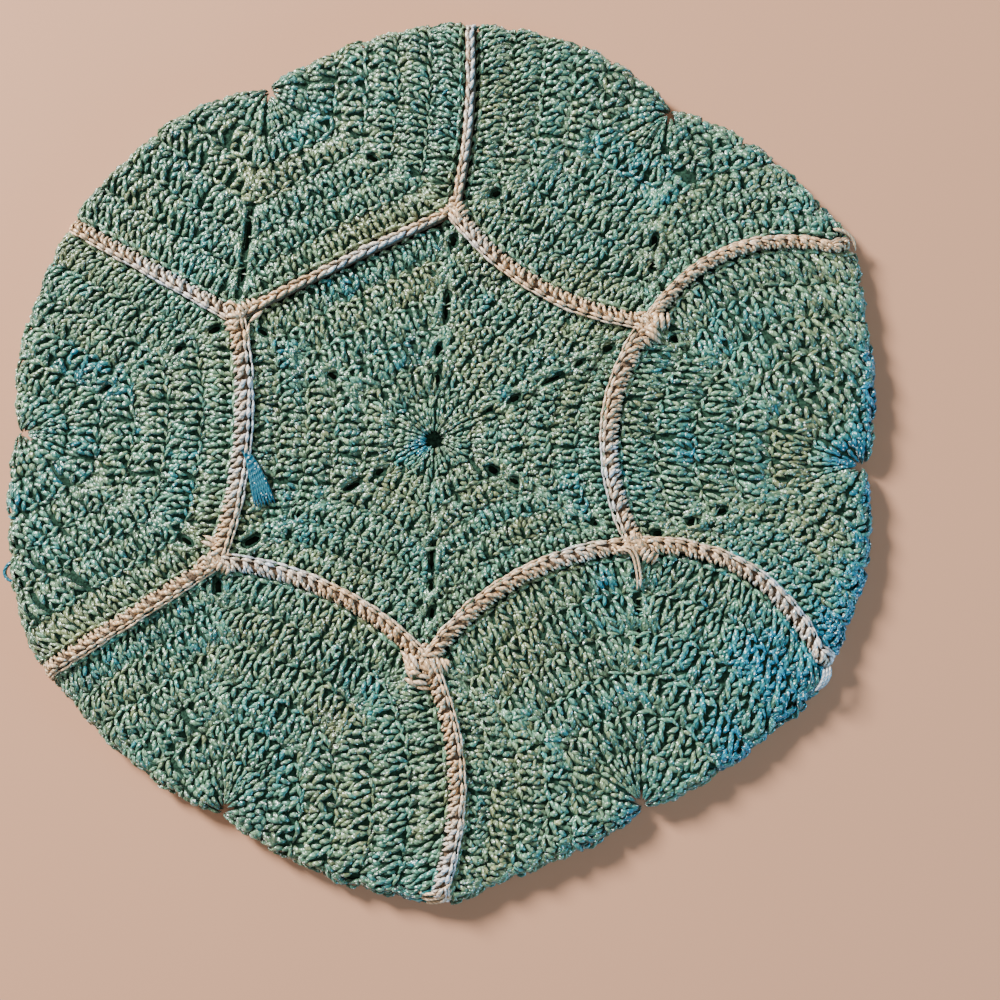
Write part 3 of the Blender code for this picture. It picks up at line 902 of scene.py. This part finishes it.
# %% Lay the stitches and openings of every motif
FIRST_SEED = 11
for seed, name in enumerate(CLOTHS, FIRST_SEED):
    lay_stitches(name, seed)
    if name in OPENINGS:
        lay_painted_shade_pits(name)

# %% [markdown]
# ## The seam
# The motifs are joined with a pearly cord that stands over the cloth as a ridge. One of its
# sides is a smooth chain, and from it short legs reach down over the next motif's edge. Two
# lengths of the front, and the whole back ring, are a flat braid instead. A spoke's seam goes
# on over the rim and back along the other side.

# %% The line of each seam
SEAM_TURN_RADIUS = 3.4
SEAM_STEPS = 24
Spine = namedtuple("Spine", "along base side up top")


def level(plan):
    return np.column_stack((plan, np.full(len(plan), FOLD_HEIGHT)))


def plan_spine(plan, side, up, top):
    """A seam that lies flat, from its line in plan."""
    steps = np.linalg.norm(np.diff(plan, axis=0), axis=1)
    along = np.concatenate(([0], np.cumsum(steps)))
    flat_side = np.column_stack((side, np.zeros(len(plan))))
    return Spine(along, level(plan), flat_side, np.tile(up, (len(plan), 1)), np.full(len(plan), top))


def joined(first, second, gap):
    """Two spines end to end, the second one beginning so far after the first."""
    along = np.concatenate((first.along, second.along + first.along[-1] + gap))
    return Spine(along, *(np.concatenate(pair) for pair in list(zip(first, second))[1:]))


def spoke_spine(k):
    """Out along the front, over the rim, and in along the back."""
    spoke, out = SPOKES[k], way_out(k)
    plan = bowed(inner_corner(k), fold_end(k), spoke.bow, SEAM_STEPS)
    side = left_of(np.gradient(plan, axis=0))
    late = np.clip((np.arange(len(plan)) - len(plan) + 6) / 5, 0, 1)[:, None]
    side = unit(side * (1 - late) + left_of(out) * late)
    front = plan_spine(plan, side, (0, 0, 1), SEAM_TOP)
    angles = np.arange(82.5, -83, -7.5)
    turn = np.radians(angles)
    ups = np.column_stack((np.cos(turn)[:, None] * out, np.sin(turn)))
    steady = np.tile((*left_of(out), 0), (len(turn), 1))
    tops = np.interp(angles, (-90, -60, -20), (FOLD_HEIGHT, 2.85, SEAM_TOP))
    along = SEAM_TURN_RADIUS * (turn[0] - turn)
    middle = np.tile((*plan[-1], FOLD_HEIGHT), (len(turn), 1))
    gap = SEAM_TURN_RADIUS * math.radians(7.5)
    front = joined(front, Spine(along, middle, steady, ups, tops), gap)
    back_plan = np.linspace(plan[-1], back_corner(k), SEAM_STEPS)
    back_side = np.tile(left_of(out), (SEAM_STEPS, 1))
    return joined(front, plan_spine(back_plan, back_side, (0, 0, -1), FOLD_HEIGHT), gap)


def ring_spine(k, back):
    if back:
        plan = np.linspace(back_corner(k), back_corner(k + 1), SEAM_STEPS)
        up, top = (0, 0, -1), FOLD_HEIGHT
    else:
        plan = bowed(inner_corner(k), inner_corner(k + 1), SECTORS[k].ring_bow, SEAM_STEPS)
        up, top = (0, 0, 1), SEAM_TOP
    return plan_spine(plan, left_of(np.gradient(plan, axis=0)), up, top)


def on_spine(spine, along, across, height):
    """Points and ups beside a seam's line. A height below 0 is measured down from its top."""
    def read(values):
        return np.interp(along, spine.along, values)

    base, side, up = (np.stack([read(grid[:, i]) for i in range(3)], -1) for grid in spine[1:4])
    side, up = unit(side), unit(up)
    height = np.where(height < 0, read(spine.top) + height, height)
    return base + across[..., None] * side + height[..., None] * up, up


# %% How wide, how pale and which way round each seam is
SeamLook = namedtuple("SeamLook", "width smooth braid pale_from pale_to")
SPOKE_LOOKS = {
    "upper_right": SeamLook(3.1, 1, False, 0.85, 1.0),
    "top": SeamLook(2.3, -1, True, 0.1, 0.8),
    "upper_left": SeamLook(3.8, 1, False, 0.0, 0.3),
    "lower_left": SeamLook(4.4, 1, False, 0.55, 0.7),
    "bottom": SeamLook(4.2, 1, False, 0.3, 0.62),
    "lower_right": SeamLook(3.9, 1, False, 0.2, 1.0),
}
RING_LOOKS = {
    "upper_right": SeamLook(4.1, 1, False, 0.8, 0.95),
    "upper_left": SeamLook(2.6, 1, True, 0.1, 0.6),
    "left": SeamLook(5.0, 1, False, 0.15, 0.8),
    "lower_left": SeamLook(4.1, 1, False, 0.0, 0.4),
    "lower_right": SeamLook(4.0, 1, False, 0.7, 0.85),
    "right": SeamLook(4.4, 1, False, 0.1, 0.5),
}

# %% The strands of a seam
LOBE_PITCH = 2.6
Lobe = namedtuple("Lobe", "start end across end_across half_width height end_height bow pale")
SINGLE = (
    Lobe(-0.5, 3.3, 0.98, 0.98, 0.42, -0.62, -0.62, 0.02, 0.20),
    Lobe(-0.4, 2.7, 0.60, 0.54, 0.62, -0.40, -0.40, 0.07, 0.05),
    Lobe(0.0, 2.0, 0.44, -0.52, 0.62, -0.16, -0.58, 0.12, 0.02),
    Lobe(1.1, 2.9, 0.20, -0.66, 0.54, -0.34, -0.80, 0.05, -0.04),
    Lobe(0.7, 1.4, -0.08, -1.08, 0.48, -0.42, -1.45, 0.0, 0.02),
    Lobe(2.0, 2.8, -0.12, -1.02, 0.44, -0.50, -1.45, 0.0, -0.04),
    Lobe(0.1, 0.8, -0.60, -0.98, 0.36, -0.86, -1.25, 0.0, 0.16),
    Lobe(-0.3, 2.7, 0.05, -0.10, 0.85, -1.05, -1.05, 0.0, -0.06),
)
BRAID = (
    Lobe(0.0, 3.8, 0.02, 0.74, 0.58, -0.40, -0.90, 0.18, 0.14),
    Lobe(1.5, 5.3, -0.02, -0.74, 0.58, -0.40, -0.90, -0.18, -0.12),
    Lobe(0.0, 3.6, 0.0, 0.0, 0.70, -1.10, -1.10, 0.0, -0.1),
)


def lobe_places(span, draws):
    """Where the lobes of a seam begin, a little unevenly spaced."""
    count = round((span[1] - span[0]) / LOBE_PITCH)
    edges = np.concatenate(([0], np.cumsum(1 + 0.12 * draws.normal(0, 1, count))))
    return span[0] + edges[:-1] / edges[-1] * (span[1] - span[0])


def cord_batch(spine, look, lobe, places, draws):
    """One strand of each lobe along a seam."""
    jitter = draws.normal(0, 1, (len(places), 6))
    half = look.width / 2 - 0.15
    u = STATIONS
    along = places[:, None] + lobe.start + 0.16 * jitter[:, :1] + (lobe.end - lobe.start) * u
    along = along + 0.2 * jitter[:, 1:2] * (u - 0.5)
    across = lobe.across + (lobe.end_across - lobe.across) * u + lobe.bow * 4 * u * (1 - u)
    across = look.smooth * (half * across[None] + 0.09 * jitter[:, 2:3])
    height = lobe.height + (lobe.end_height - lobe.height) * u ** 2
    height = height - 0.25 * (1 - np.sin(math.pi * u) ** 0.6) - 0.06 * jitter[:, 3:4]
    path, ups = on_spine(spine, along, across, height)
    wide = lobe.half_width * (1 + 0.1 * jitter[:, 4:5]) * FATNESS
    share = (places - places[0]) / (places[-1] - places[0])
    pale = np.clip(5 * np.minimum(share - look.pale_from, look.pale_to - share) + 0.5, 0, 1)
    dye = 0.22 + 0.5 * pale + lobe.pale + 0.09 * draws.normal(0, 1, len(places))
    return Batch(path, ups, wide, wide * 0.85, np.clip(dye, 0, 1), np.clip(0.5 + 0.2 * jitter[:, 5], 0, 1))


def seam_batches(spine, look, span, draws):
    places = lobe_places(span, draws)
    return [cord_batch(spine, look, lobe, places, draws) for lobe in (BRAID if look.braid else SINGLE)]


CORE_STEP = 1.6


def seam_core(name, spine, look, span):
    """The inside of the cord, coloured dark as painted shade: a stem between the edges and a head under the
    strands.
    """
    along = np.arange(span[0], span[1] + CORE_STEP / 2, CORE_STEP)
    head = min(0.6 * look.width / 2, 1.4)
    section = ((1.0, 0.5), (1.15, 2.2), (head, 2.5), (head * 0.95, -1.15), (head * 0.4, -0.85))
    section = section + tuple((-a, h) for a, h in section[::-1])
    across = np.array([a for a, _ in section])
    height = np.array([h for _, h in section])
    around = len(section)
    stations = np.repeat(along[:, None], around, 1)
    points, _ = on_spine(spine, stations, np.tile(across, (len(along), 1)), np.tile(height, (len(along), 1)))
    flat = np.interp(along, spine.along, spine.top)[:, None] < SEAM_TOP - 0.3
    low, _ = on_spine(spine, stations, np.tile(np.clip(across, -1.1, 1.1), (len(along), 1)),
                      np.tile(np.clip(np.where(height < 0, 9, height), 0.5, 1.9), (len(along), 1)))
    points = np.where(flat[..., None], low, points)
    ends = np.array((np.arange(around)[::-1], np.arange(around) + (len(along) - 1) * around))
    return new_piece(name, points.reshape(-1, 3), [ring_quads(len(along), around), ends], cord_gaps_painted_shade)


def lay_seam(name, node_name, spine, look, span, draws):
    core = seam_core(name + "_core", spine, look, span)
    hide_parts(node_name)
    return lay_strands(name, seam_batches(spine, look, span, draws), cord)


# %% Sew the seams
draws = np.random.default_rng(5)
SEAM_START = 1.0
BACK_START = 1.5
SPOKE_STOP = 1.2
BACK_LOOK = SeamLook(3.4, 1, True, 0.0, 0.4)
for k, sector in enumerate(SECTORS):
    for back in (False, True):
        spine = ring_spine(k, back)
        if back:
            look, start, side_name = BACK_LOOK, BACK_START, "back_ring_seam_"
        else:
            look, start, side_name = RING_LOOKS[sector.place], SEAM_START, "front_ring_seam_"
        span = (start, spine.along[-1] - start)
        lay_seam(side_name + sector.place + "_cord", side_name + sector.place, spine, look, span, draws)
for k, spoke in enumerate(SPOKES):
    spine = spoke_spine(k)
    name = "spoke_seam_" + spoke.place
    span = (SEAM_START, spine.along[-1] - SPOKE_STOP)
    lay_seam(name + "_cord", name, spine, SPOKE_LOOKS[spoke.place], span, draws)
print("seams:", 2 * len(SECTORS) + len(SPOKES))

# %% [markdown]
# Where three seams meet, each corner was closed in its own way: by a few turns of the cord, by a
# coil, or by strands that only cross. No rule gives that, so the strands are listed where they
# start and end in the photograph, as pixels of its 1000 by 1000 frame counted from the upper
# left. The camera's ray through such a pixel is followed down to the level of the seam, which
# gives the place. Nine more strands were added, given in millimetres from the corner.

# %% Turn a pixel of the photograph into a place
FRAME_PIXELS = 1000
FRAME_MIDDLE = FRAME_PIXELS / 2


def place_at(across, down, level):
    """The place in plan that shows at a pixel, if it lies so high, to a tenth of a millimetre."""
    turn = np.array(Euler([math.radians(a) for a in CAMERA_TURN]).to_matrix())
    focal = CAMERA_LENS / SENSOR_WIDTH * FRAME_PIXELS
    ray = turn @ ((across - FRAME_MIDDLE) / focal, (FRAME_MIDDLE - down) / focal, -1)
    eye = np.array(CAMERA_PLACE) / MM
    return np.round((eye + (level - eye[2]) / ray[2] * ray)[:2], 1)


print("the picture's middle shows the place", place_at(FRAME_MIDDLE, FRAME_MIDDLE, 0))

# %% Gather the cord at the corners
# Each row: the pixel where a strand starts, the one where it ends, how far it bends aside, and
# half its width. The bends and widths are millimetres.
PICKED_WRAPS = {
    "top": (
        (445.6, 210, 462.7, 228, 0, 0.55), (450, 207, 466, 224, 0, 0.55), (455, 210, 463, 200, 0, 0.42),
        (457, 213, 466, 203.6, 0, 0.42), (459.5, 215.5, 470, 209, 0, 0.42), (448, 200, 458, 196, 0, 0.5),
        (438, 208, 448, 214, 0, 0.5), (441, 216, 450, 208, 0, 0.45),
    ),
    "upper_right": (
        (654.5, 311, 656, 330, 0.2, 0.75), (660.5, 310, 662, 331, 0.2, 0.75),
        (667, 310, 668, 329, 0.2, 0.5), (650, 309, 670, 297, 0.4, 0.5), (642, 330, 662, 343, 0.3, 0.75),
        (645, 327, 662, 337, 0.3, 0.65), (640, 335, 652, 347, 0.2, 0.55), (632, 316, 649, 312, 0.3, 0.5),
        (634, 321, 646, 331, 0, 0.5),
    ),
    "lower_right": (
        (642, 562, 650, 548, 0, 0.55), (646, 564, 655, 550, 0, 0.55), (651, 565, 659, 553, 0, 0.5),
        (640, 557, 646, 546, 0, 0.5), (628, 527, 637, 543, 0.2, 0.6), (622, 537, 634, 546, 0, 0.5),
        (645, 543, 662, 540, 0.3, 0.55), (633, 530, 640, 541, 0, 0.5),
    ),
    "bottom": (
        (423, 658, 431, 675, 0.3, 0.55), (428, 656, 437, 677, 0.3, 0.55), (433, 655, 442, 676, 0.4, 0.55),
        (438, 656, 447, 674, 0.4, 0.55), (443, 659, 450, 668, 0.4, 0.5), (420, 650, 428, 643, 0.3, 0.5),
        (425, 651, 433, 645, 0.3, 0.5), (399, 650, 413, 668, 0.3, 0.6), (407, 652, 419, 670, 0.3, 0.6),
        (404, 664, 412, 681, 0.2, 0.6), (414, 676, 432, 679, 0.3, 0.5),
    ),
    "lower_left": (
        (195, 566, 213, 566, 1.9, 0.5), (198, 568, 211, 568, 1.2, 0.5), (201, 570, 208, 570, 0.6, 0.45),
        (216, 572, 223, 560, 0, 0.5), (220, 574, 227, 562, 0, 0.5), (224, 576, 231, 565, 0, 0.5),
        (201, 535, 222, 547, 0.3, 0.6), (199, 541, 215, 548, 0.2, 0.55), (190, 574, 204, 577, 0.3, 0.5),
    ),
    "upper_left": (
        (221, 309, 237, 310, 1.9, 0.5), (225, 311, 234, 312, 1.1, 0.45), (240, 300, 249, 311, 0, 0.5),
        (245, 298, 254, 309, 0, 0.5), (250, 297, 258, 305, 0, 0.5), (236, 303, 245, 313, 0, 0.5),
        (222, 317, 241, 316, 0.2, 0.62), (222, 323, 241, 322, 0.2, 0.62), (223, 329, 240, 328, 0.2, 0.62),
        (262, 309, 248, 322, 0.2, 0.55), (248, 322, 243, 343, 0.2, 0.5),
    ),
}
# Each row: start and end from the corner, how far it bends aside, and half its width.
ADDED_WRAPS = {
    "upper_right": (
        (-1.5, 1.6, 0.6, 0.4, 0, 0.45),
    ),
    "bottom": (
        (-5.6, 1.2, -3, -2.6, 0.2, 0.6), (-4.6, -2.6, -1, -2.4, 0.3, 0.6),
        (-5.2, -3.4, -2.2, -5.6, 0.2, 0.6), (-3.6, -4.4, 0.6, -4.8, 0.2, 0.6),
        (-2.6, -5.6, 1.2, -6, 0.2, 0.55), (-3.9, 0.4, -1.9, -3, 0, 0.65),
        (-4.9, -1.2, -2.2, -1.4, 0, 0.55),
    ),
    "lower_left": (
        (-1.2, 1.2, 1.2, 2.4, 0, 0.5),
    ),
}
PICKED_LEVEL = 6.3
WRAP_HEIGHT = 6.55
WRAP_FALL = 0.055
WRAP_SPREAD = 1.28


def wrap_rows(place, middle):
    """A corner's strands, all in millimetres from its middle."""
    rows = []
    for across, down, end_across, end_down, bend, half_width in PICKED_WRAPS[place]:
        start = np.round(place_at(across, down, PICKED_LEVEL) - middle, 1)
        end = np.round(place_at(end_across, end_down, PICKED_LEVEL) - middle, 1)
        rows.append((*start, *end, bend, half_width))
    return np.array(rows + list(ADDED_WRAPS.get(place, ())))


def wrap_batch(place, middle, draws):
    """The strands that close one corner, highest near its middle."""
    rows = wrap_rows(place, middle)
    u = STATIONS[None, :, None]
    start, end = rows[:, None, 0:2], rows[:, None, 2:4]
    plan = start + (end - start) * u + 4 * u * (1 - u) * rows[:, None, 4:5] * left_of(end - start)
    away = np.linalg.norm(plan - plan.mean((0, 1)), axis=2)
    height = WRAP_HEIGHT - WRAP_FALL * away ** 2 + 0.12 * draws.normal(0, 1, (len(rows), 1))
    height = np.maximum(height, 5.6) - 0.5 * (2 * STATIONS - 1) ** 2
    path = np.concatenate((plan + middle, height[..., None]), 2)
    wide = WRAP_SPREAD * rows[:, 5:6] * FATNESS
    tone = np.clip(0.55 + 0.15 * draws.normal(0, 1, len(rows)), 0, 1)
    normals = np.tile((0.0, 0.0, 1.0), (len(rows), len(STATIONS), 1))
    return Batch(path, normals, wide, wide * 0.9, 0.3 + 0.1 * draws.normal(0, 1, len(rows)), tone)


def under_batch(middle, reach, top, up, draws):
    """Strands that cross in a corner and fill it. On the back, where up is -1, they are all it has."""
    turns = np.radians(np.arange(0, 180, 20) + draws.normal(0, 8, 9))
    way = np.stack((np.cos(turns), np.sin(turns)), -1)[:, None]
    offset = (draws.random((9, 1, 1)) - 0.5) * reach
    spots = (2 * STATIONS - 1)[None, :, None]
    plan = middle + spots * reach * way + offset * left_of(way)
    height = np.broadcast_to(top - 0.7 * up * (2 * STATIONS - 1) ** 2, plan.shape[:2])
    path = np.concatenate((plan, height[..., None]), 2)
    normals = np.tile((0.0, 0.0, up), (*path.shape[:2], 1))
    wide = np.full((9, 1), 0.75) * FATNESS
    return Batch(path, normals, wide, wide * 0.9, 0.15 + 0.1 * draws.random(9), 0.2 + 0.3 * draws.random(9))


def dome_core(name, middle, radius, top):
    """A low dome under a corner's strands, coloured as the cord's painted shade."""
    rings, around = 4, 12
    tilt = np.linspace(0, math.pi / 2, rings)
    turn = np.arange(around) * 2 * math.pi / around
    x = middle[0] + radius * np.cos(tilt)[:-1, None] * np.cos(turn)
    y = middle[1] + radius * np.cos(tilt)[:-1, None] * np.sin(turn)
    z = 2 * FOLD_HEIGHT + (top - 2 * FOLD_HEIGHT) * np.sin(tilt)[:-1, None] + 0 * turn
    points = np.vstack((np.stack((x, y, z), -1).reshape(-1, 3), (*middle, top)))
    a = np.arange(around)
    last = (rings - 2) * around
    fans = np.stack((last + a, last + (a + 1) % around, np.full(around, len(points) - 1)), -1)
    base = a[::-1][None]
    return new_piece(name, points, [ring_quads(rings - 1, around), fans, base], cord_gaps_painted_shade)


# %% Close every corner
for k, spoke in enumerate(SPOKES):
    core = dome_core("corner_core_" + spoke.place, inner_corner(k), 0.62 * spoke.puff, 5.8)
    batches = (wrap_batch(spoke.place, inner_corner(k), draws),
               under_batch(inner_corner(k), 0.85 * spoke.puff, 6.0, 1.0, draws),
               under_batch(back_corner(k), 2.9, 0.7, -1.0, draws))
    lay_strands("corner_strands_" + spoke.place, batches, cord)
    print("corner", spoke.place, "strands:", sum(len(batch.path) for batch in batches))

# %% [markdown]
# A few ends were never woven in: a two-ply end of cord at one corner, a flared tail and a loop of
# blue yarn, and turns of cord over the rim where a seam ends. Each is a row of places that a
# strand runs through, with its half width at each place.

# %% Leave the loose ends
LOOSE_STEPS = 12


def loose_strand(places, widths, dye, tone):
    """A long strand through places in millimetres."""
    places, widths = np.array(places, float), np.array(widths, float)
    u = np.linspace(0, len(places) - 1, LOOSE_STEPS)
    line = np.stack([np.interp(u, np.arange(len(places)), places[:, i]) for i in range(3)], -1)
    line[1:-1] = (line[:-2] + 2 * line[1:-1] + line[2:]) / 4
    wide = np.interp(u, np.arange(len(widths)), widths)
    wide[0] = wide[-1] = 0
    normals = np.tile((0.0, 0.0, 1.0), (1, LOOSE_STEPS, 1))
    return Batch(line[None], normals, wide[None], 0.85 * wide[None], np.array([dye]), np.array([tone]))


CORD_END = (
    (41.3, -25.5, 6.2), (43.5, -24.9, 6.7), (44.9, -25.6, 6.6), (45.7, -27.3, 6.2),
    (46.1, -29.9, 6.0), (46.5, -32.6, 5.9), (46.1, -34.5, 5.7),
)
CORD_END_WIDTHS = (0.4, 0.42, 0.42, 0.4, 0.35, 0.3, 0.1)
BLUE_TAIL = (
    (-44.9, -1.8, 6.0), (-42.9, -3.4, 6.1), (-41.4, -6.9, 6.1), (-39.9, -11.1, 6.1),
    (-38.6, -15.4, 5.9),
)
TAIL_WIDTHS = (0.3, 0.4, 0.5, 0.55, 0.25)
TAIL_FANS = (-2.3, -1.6, -0.8, 0.0, 0.8, 1.6, 2.3)
LEFT_LOOP = (
    (-99.0, -27.2, 3.6), (-101.0, -28.2, 3.2), (-102.3, -30.2, 2.8), (-101.1, -32.2, 2.6),
    (-98.9, -32.3, 2.6),
)
BOTTOM_TURNS = (
    ((5.2, -98.4, 6.0), (2.5, -100.6, 5.2), (-1.2, -101.3, 4.4), (-3.2, -100.0, 4.0)),
    ((5.4, -99.8, 5.4), (2.5, -101.9, 4.4), (-0.8, -102.4, 3.7), (-2.9, -101.3, 3.3)),
    ((5.2, -101.2, 4.6), (2.6, -102.9, 3.6), (-0.4, -103.2, 3.0), (-2.4, -102.3, 2.7)),
)
RIGHT_TURN = ((89.8, 46.4, 5.6), (92.6, 45.8, 4.9), (94.6, 44.2, 4.0), (94.9, 41.8, 3.2))
WHITE_BUMP = ((87.2, -50.6, 5.3), (87.2, -52.4, 5.2), (86.4, -54.2, 5.0), (85.2, -55.6, 4.6))
BUMP_WIDTHS = (0.35, 0.5, 0.45, 0.3)
BUMP_SHIFTS = ((0.1, 0.0), (-0.55, -0.35), (-1.2, -0.6))


def moved(places, x, y):
    return [(a + x, b + y, c) for a, b, c in places]


def fanned(places, spread):
    """The places of one strand of a tail that flares towards its end."""
    last = len(places) - 1
    return [(x + spread * i / last, y + 0.25 * spread * i / last, z) for i, (x, y, z) in enumerate(places)]


cord_ends = [loose_strand(moved(CORD_END, 0.35, 0.3), CORD_END_WIDTHS, 0.35, 0.6)]
cord_ends.append(loose_strand(moved(CORD_END, -0.35, -0.3), CORD_END_WIDTHS, 0.3, 0.55))
cord_ends += [loose_strand(turn, (0.5, 0.5, 0.5, 0.3), 0.4, 0.55) for turn in BOTTOM_TURNS]
cord_ends.append(loose_strand(RIGHT_TURN, (0.5, 0.5, 0.45, 0.3), 0.35, 0.5))
for shift in BUMP_SHIFTS:
    cord_ends.append(loose_strand(moved(WHITE_BUMP, *shift), BUMP_WIDTHS, 0.95, 0.2))
lay_strands("loose_cord_ends", cord_ends, cord)
blue_ends = [loose_strand(fanned(BLUE_TAIL, spread), TAIL_WIDTHS, 1.0, 0.1) for spread in TAIL_FANS]
blue_ends.append(loose_strand(LEFT_LOOP, (0.3, 0.5, 0.5, 0.5, 0.3), 1.0, 0.3))
lay_strands("loose_blue_ends", blue_ends, yarn)
print("loose strands:", len(cord_ends) + len(blue_ends))

# %% [markdown]
# ## The floor and the light
# The pad lies on a pale floor under a soft lamp from the upper left, which leaves a shadow a few
# millimetres wide along the right and the lower right of the rim. A weak lamp above softens the
# gaps, and a low blue one at the lower right puts a cool glow on that side of the rim.

# %% Floor
FLOOR_SIZE = 3.0
FLOOR_COLOUR = (0.545, 0.282, 0.167)


def make_floor():
    half = FLOOR_SIZE / 2 / MM
    corners = np.array([(-half, -half, 0), (half, -half, 0), (half, half, 0), (-half, half, 0)], float)
    material, tree = new_material("Pale_floor")
    shader = tree.nodes["Principled BSDF"]
    place = node(tree, "ShaderNodeTexCoord").outputs["Object"]
    cloudy = node(tree, "ShaderNodeTexNoise", {"Vector": place, "Scale": 6.0, "Detail": 2.0})
    dark = tuple(0.96 * c for c in FLOOR_COLOUR)
    colour = ramp(tree, cloudy.outputs["Fac"], ((0.3, dark), (0.7, FLOOR_COLOUR)))
    tree.links.new(colour, shader.inputs["Base Color"])
    shader.inputs["Roughness"].default_value = 0.85
    mesh = bpy.data.meshes.new("Pale_floor")
    mesh.from_pydata([tuple(c * MM) for c in corners], [], [(0, 1, 2, 3)])
    mesh.materials.append(material)
    floor = bpy.data.objects.new("Pale_floor", mesh)
    bpy.context.scene.collection.objects.link(floor)


make_floor()


# %% Lamps
def soft_lamp(name, turn, height, distance, size, power, colour):
    """A round lamp that looks at the pad, from a turn and a height in degrees."""
    data = bpy.data.lights.new(name, "AREA")
    data.shape = "DISK"
    data.size = size
    data.energy = power
    data.color = colour
    lamp = bpy.data.objects.new(name, data)
    around, up = math.radians(turn), math.radians(height)
    level = math.cos(up)
    lamp.location = [distance * x for x in (level * math.cos(around), level * math.sin(around), math.sin(up))]
    lamp.rotation_euler = (math.pi / 2 - up, 0, around + math.pi / 2)
    bpy.context.scene.collection.objects.link(lamp)


soft_lamp("Lamp_upper_left", 137, 29, 1.5, 0.42, 78.0, (1.0, 0.97, 0.93))
soft_lamp("Fill_above", 300, 80, 1.6, 1.2, 8.0, (1.0, 0.97, 0.94))
soft_lamp("Cool_glow_lower_right", 335, 9, 0.8, 0.3, 6.0, (0.15, 0.6, 1.0))
world = bpy.data.worlds.new("Soft_room")
world.use_nodes = True
world.node_tree.nodes["Background"].inputs["Color"].default_value = (0.84, 0.93, 1.0, 1)
world.node_tree.nodes["Background"].inputs["Strength"].default_value = 0.14
bpy.context.scene.world = world
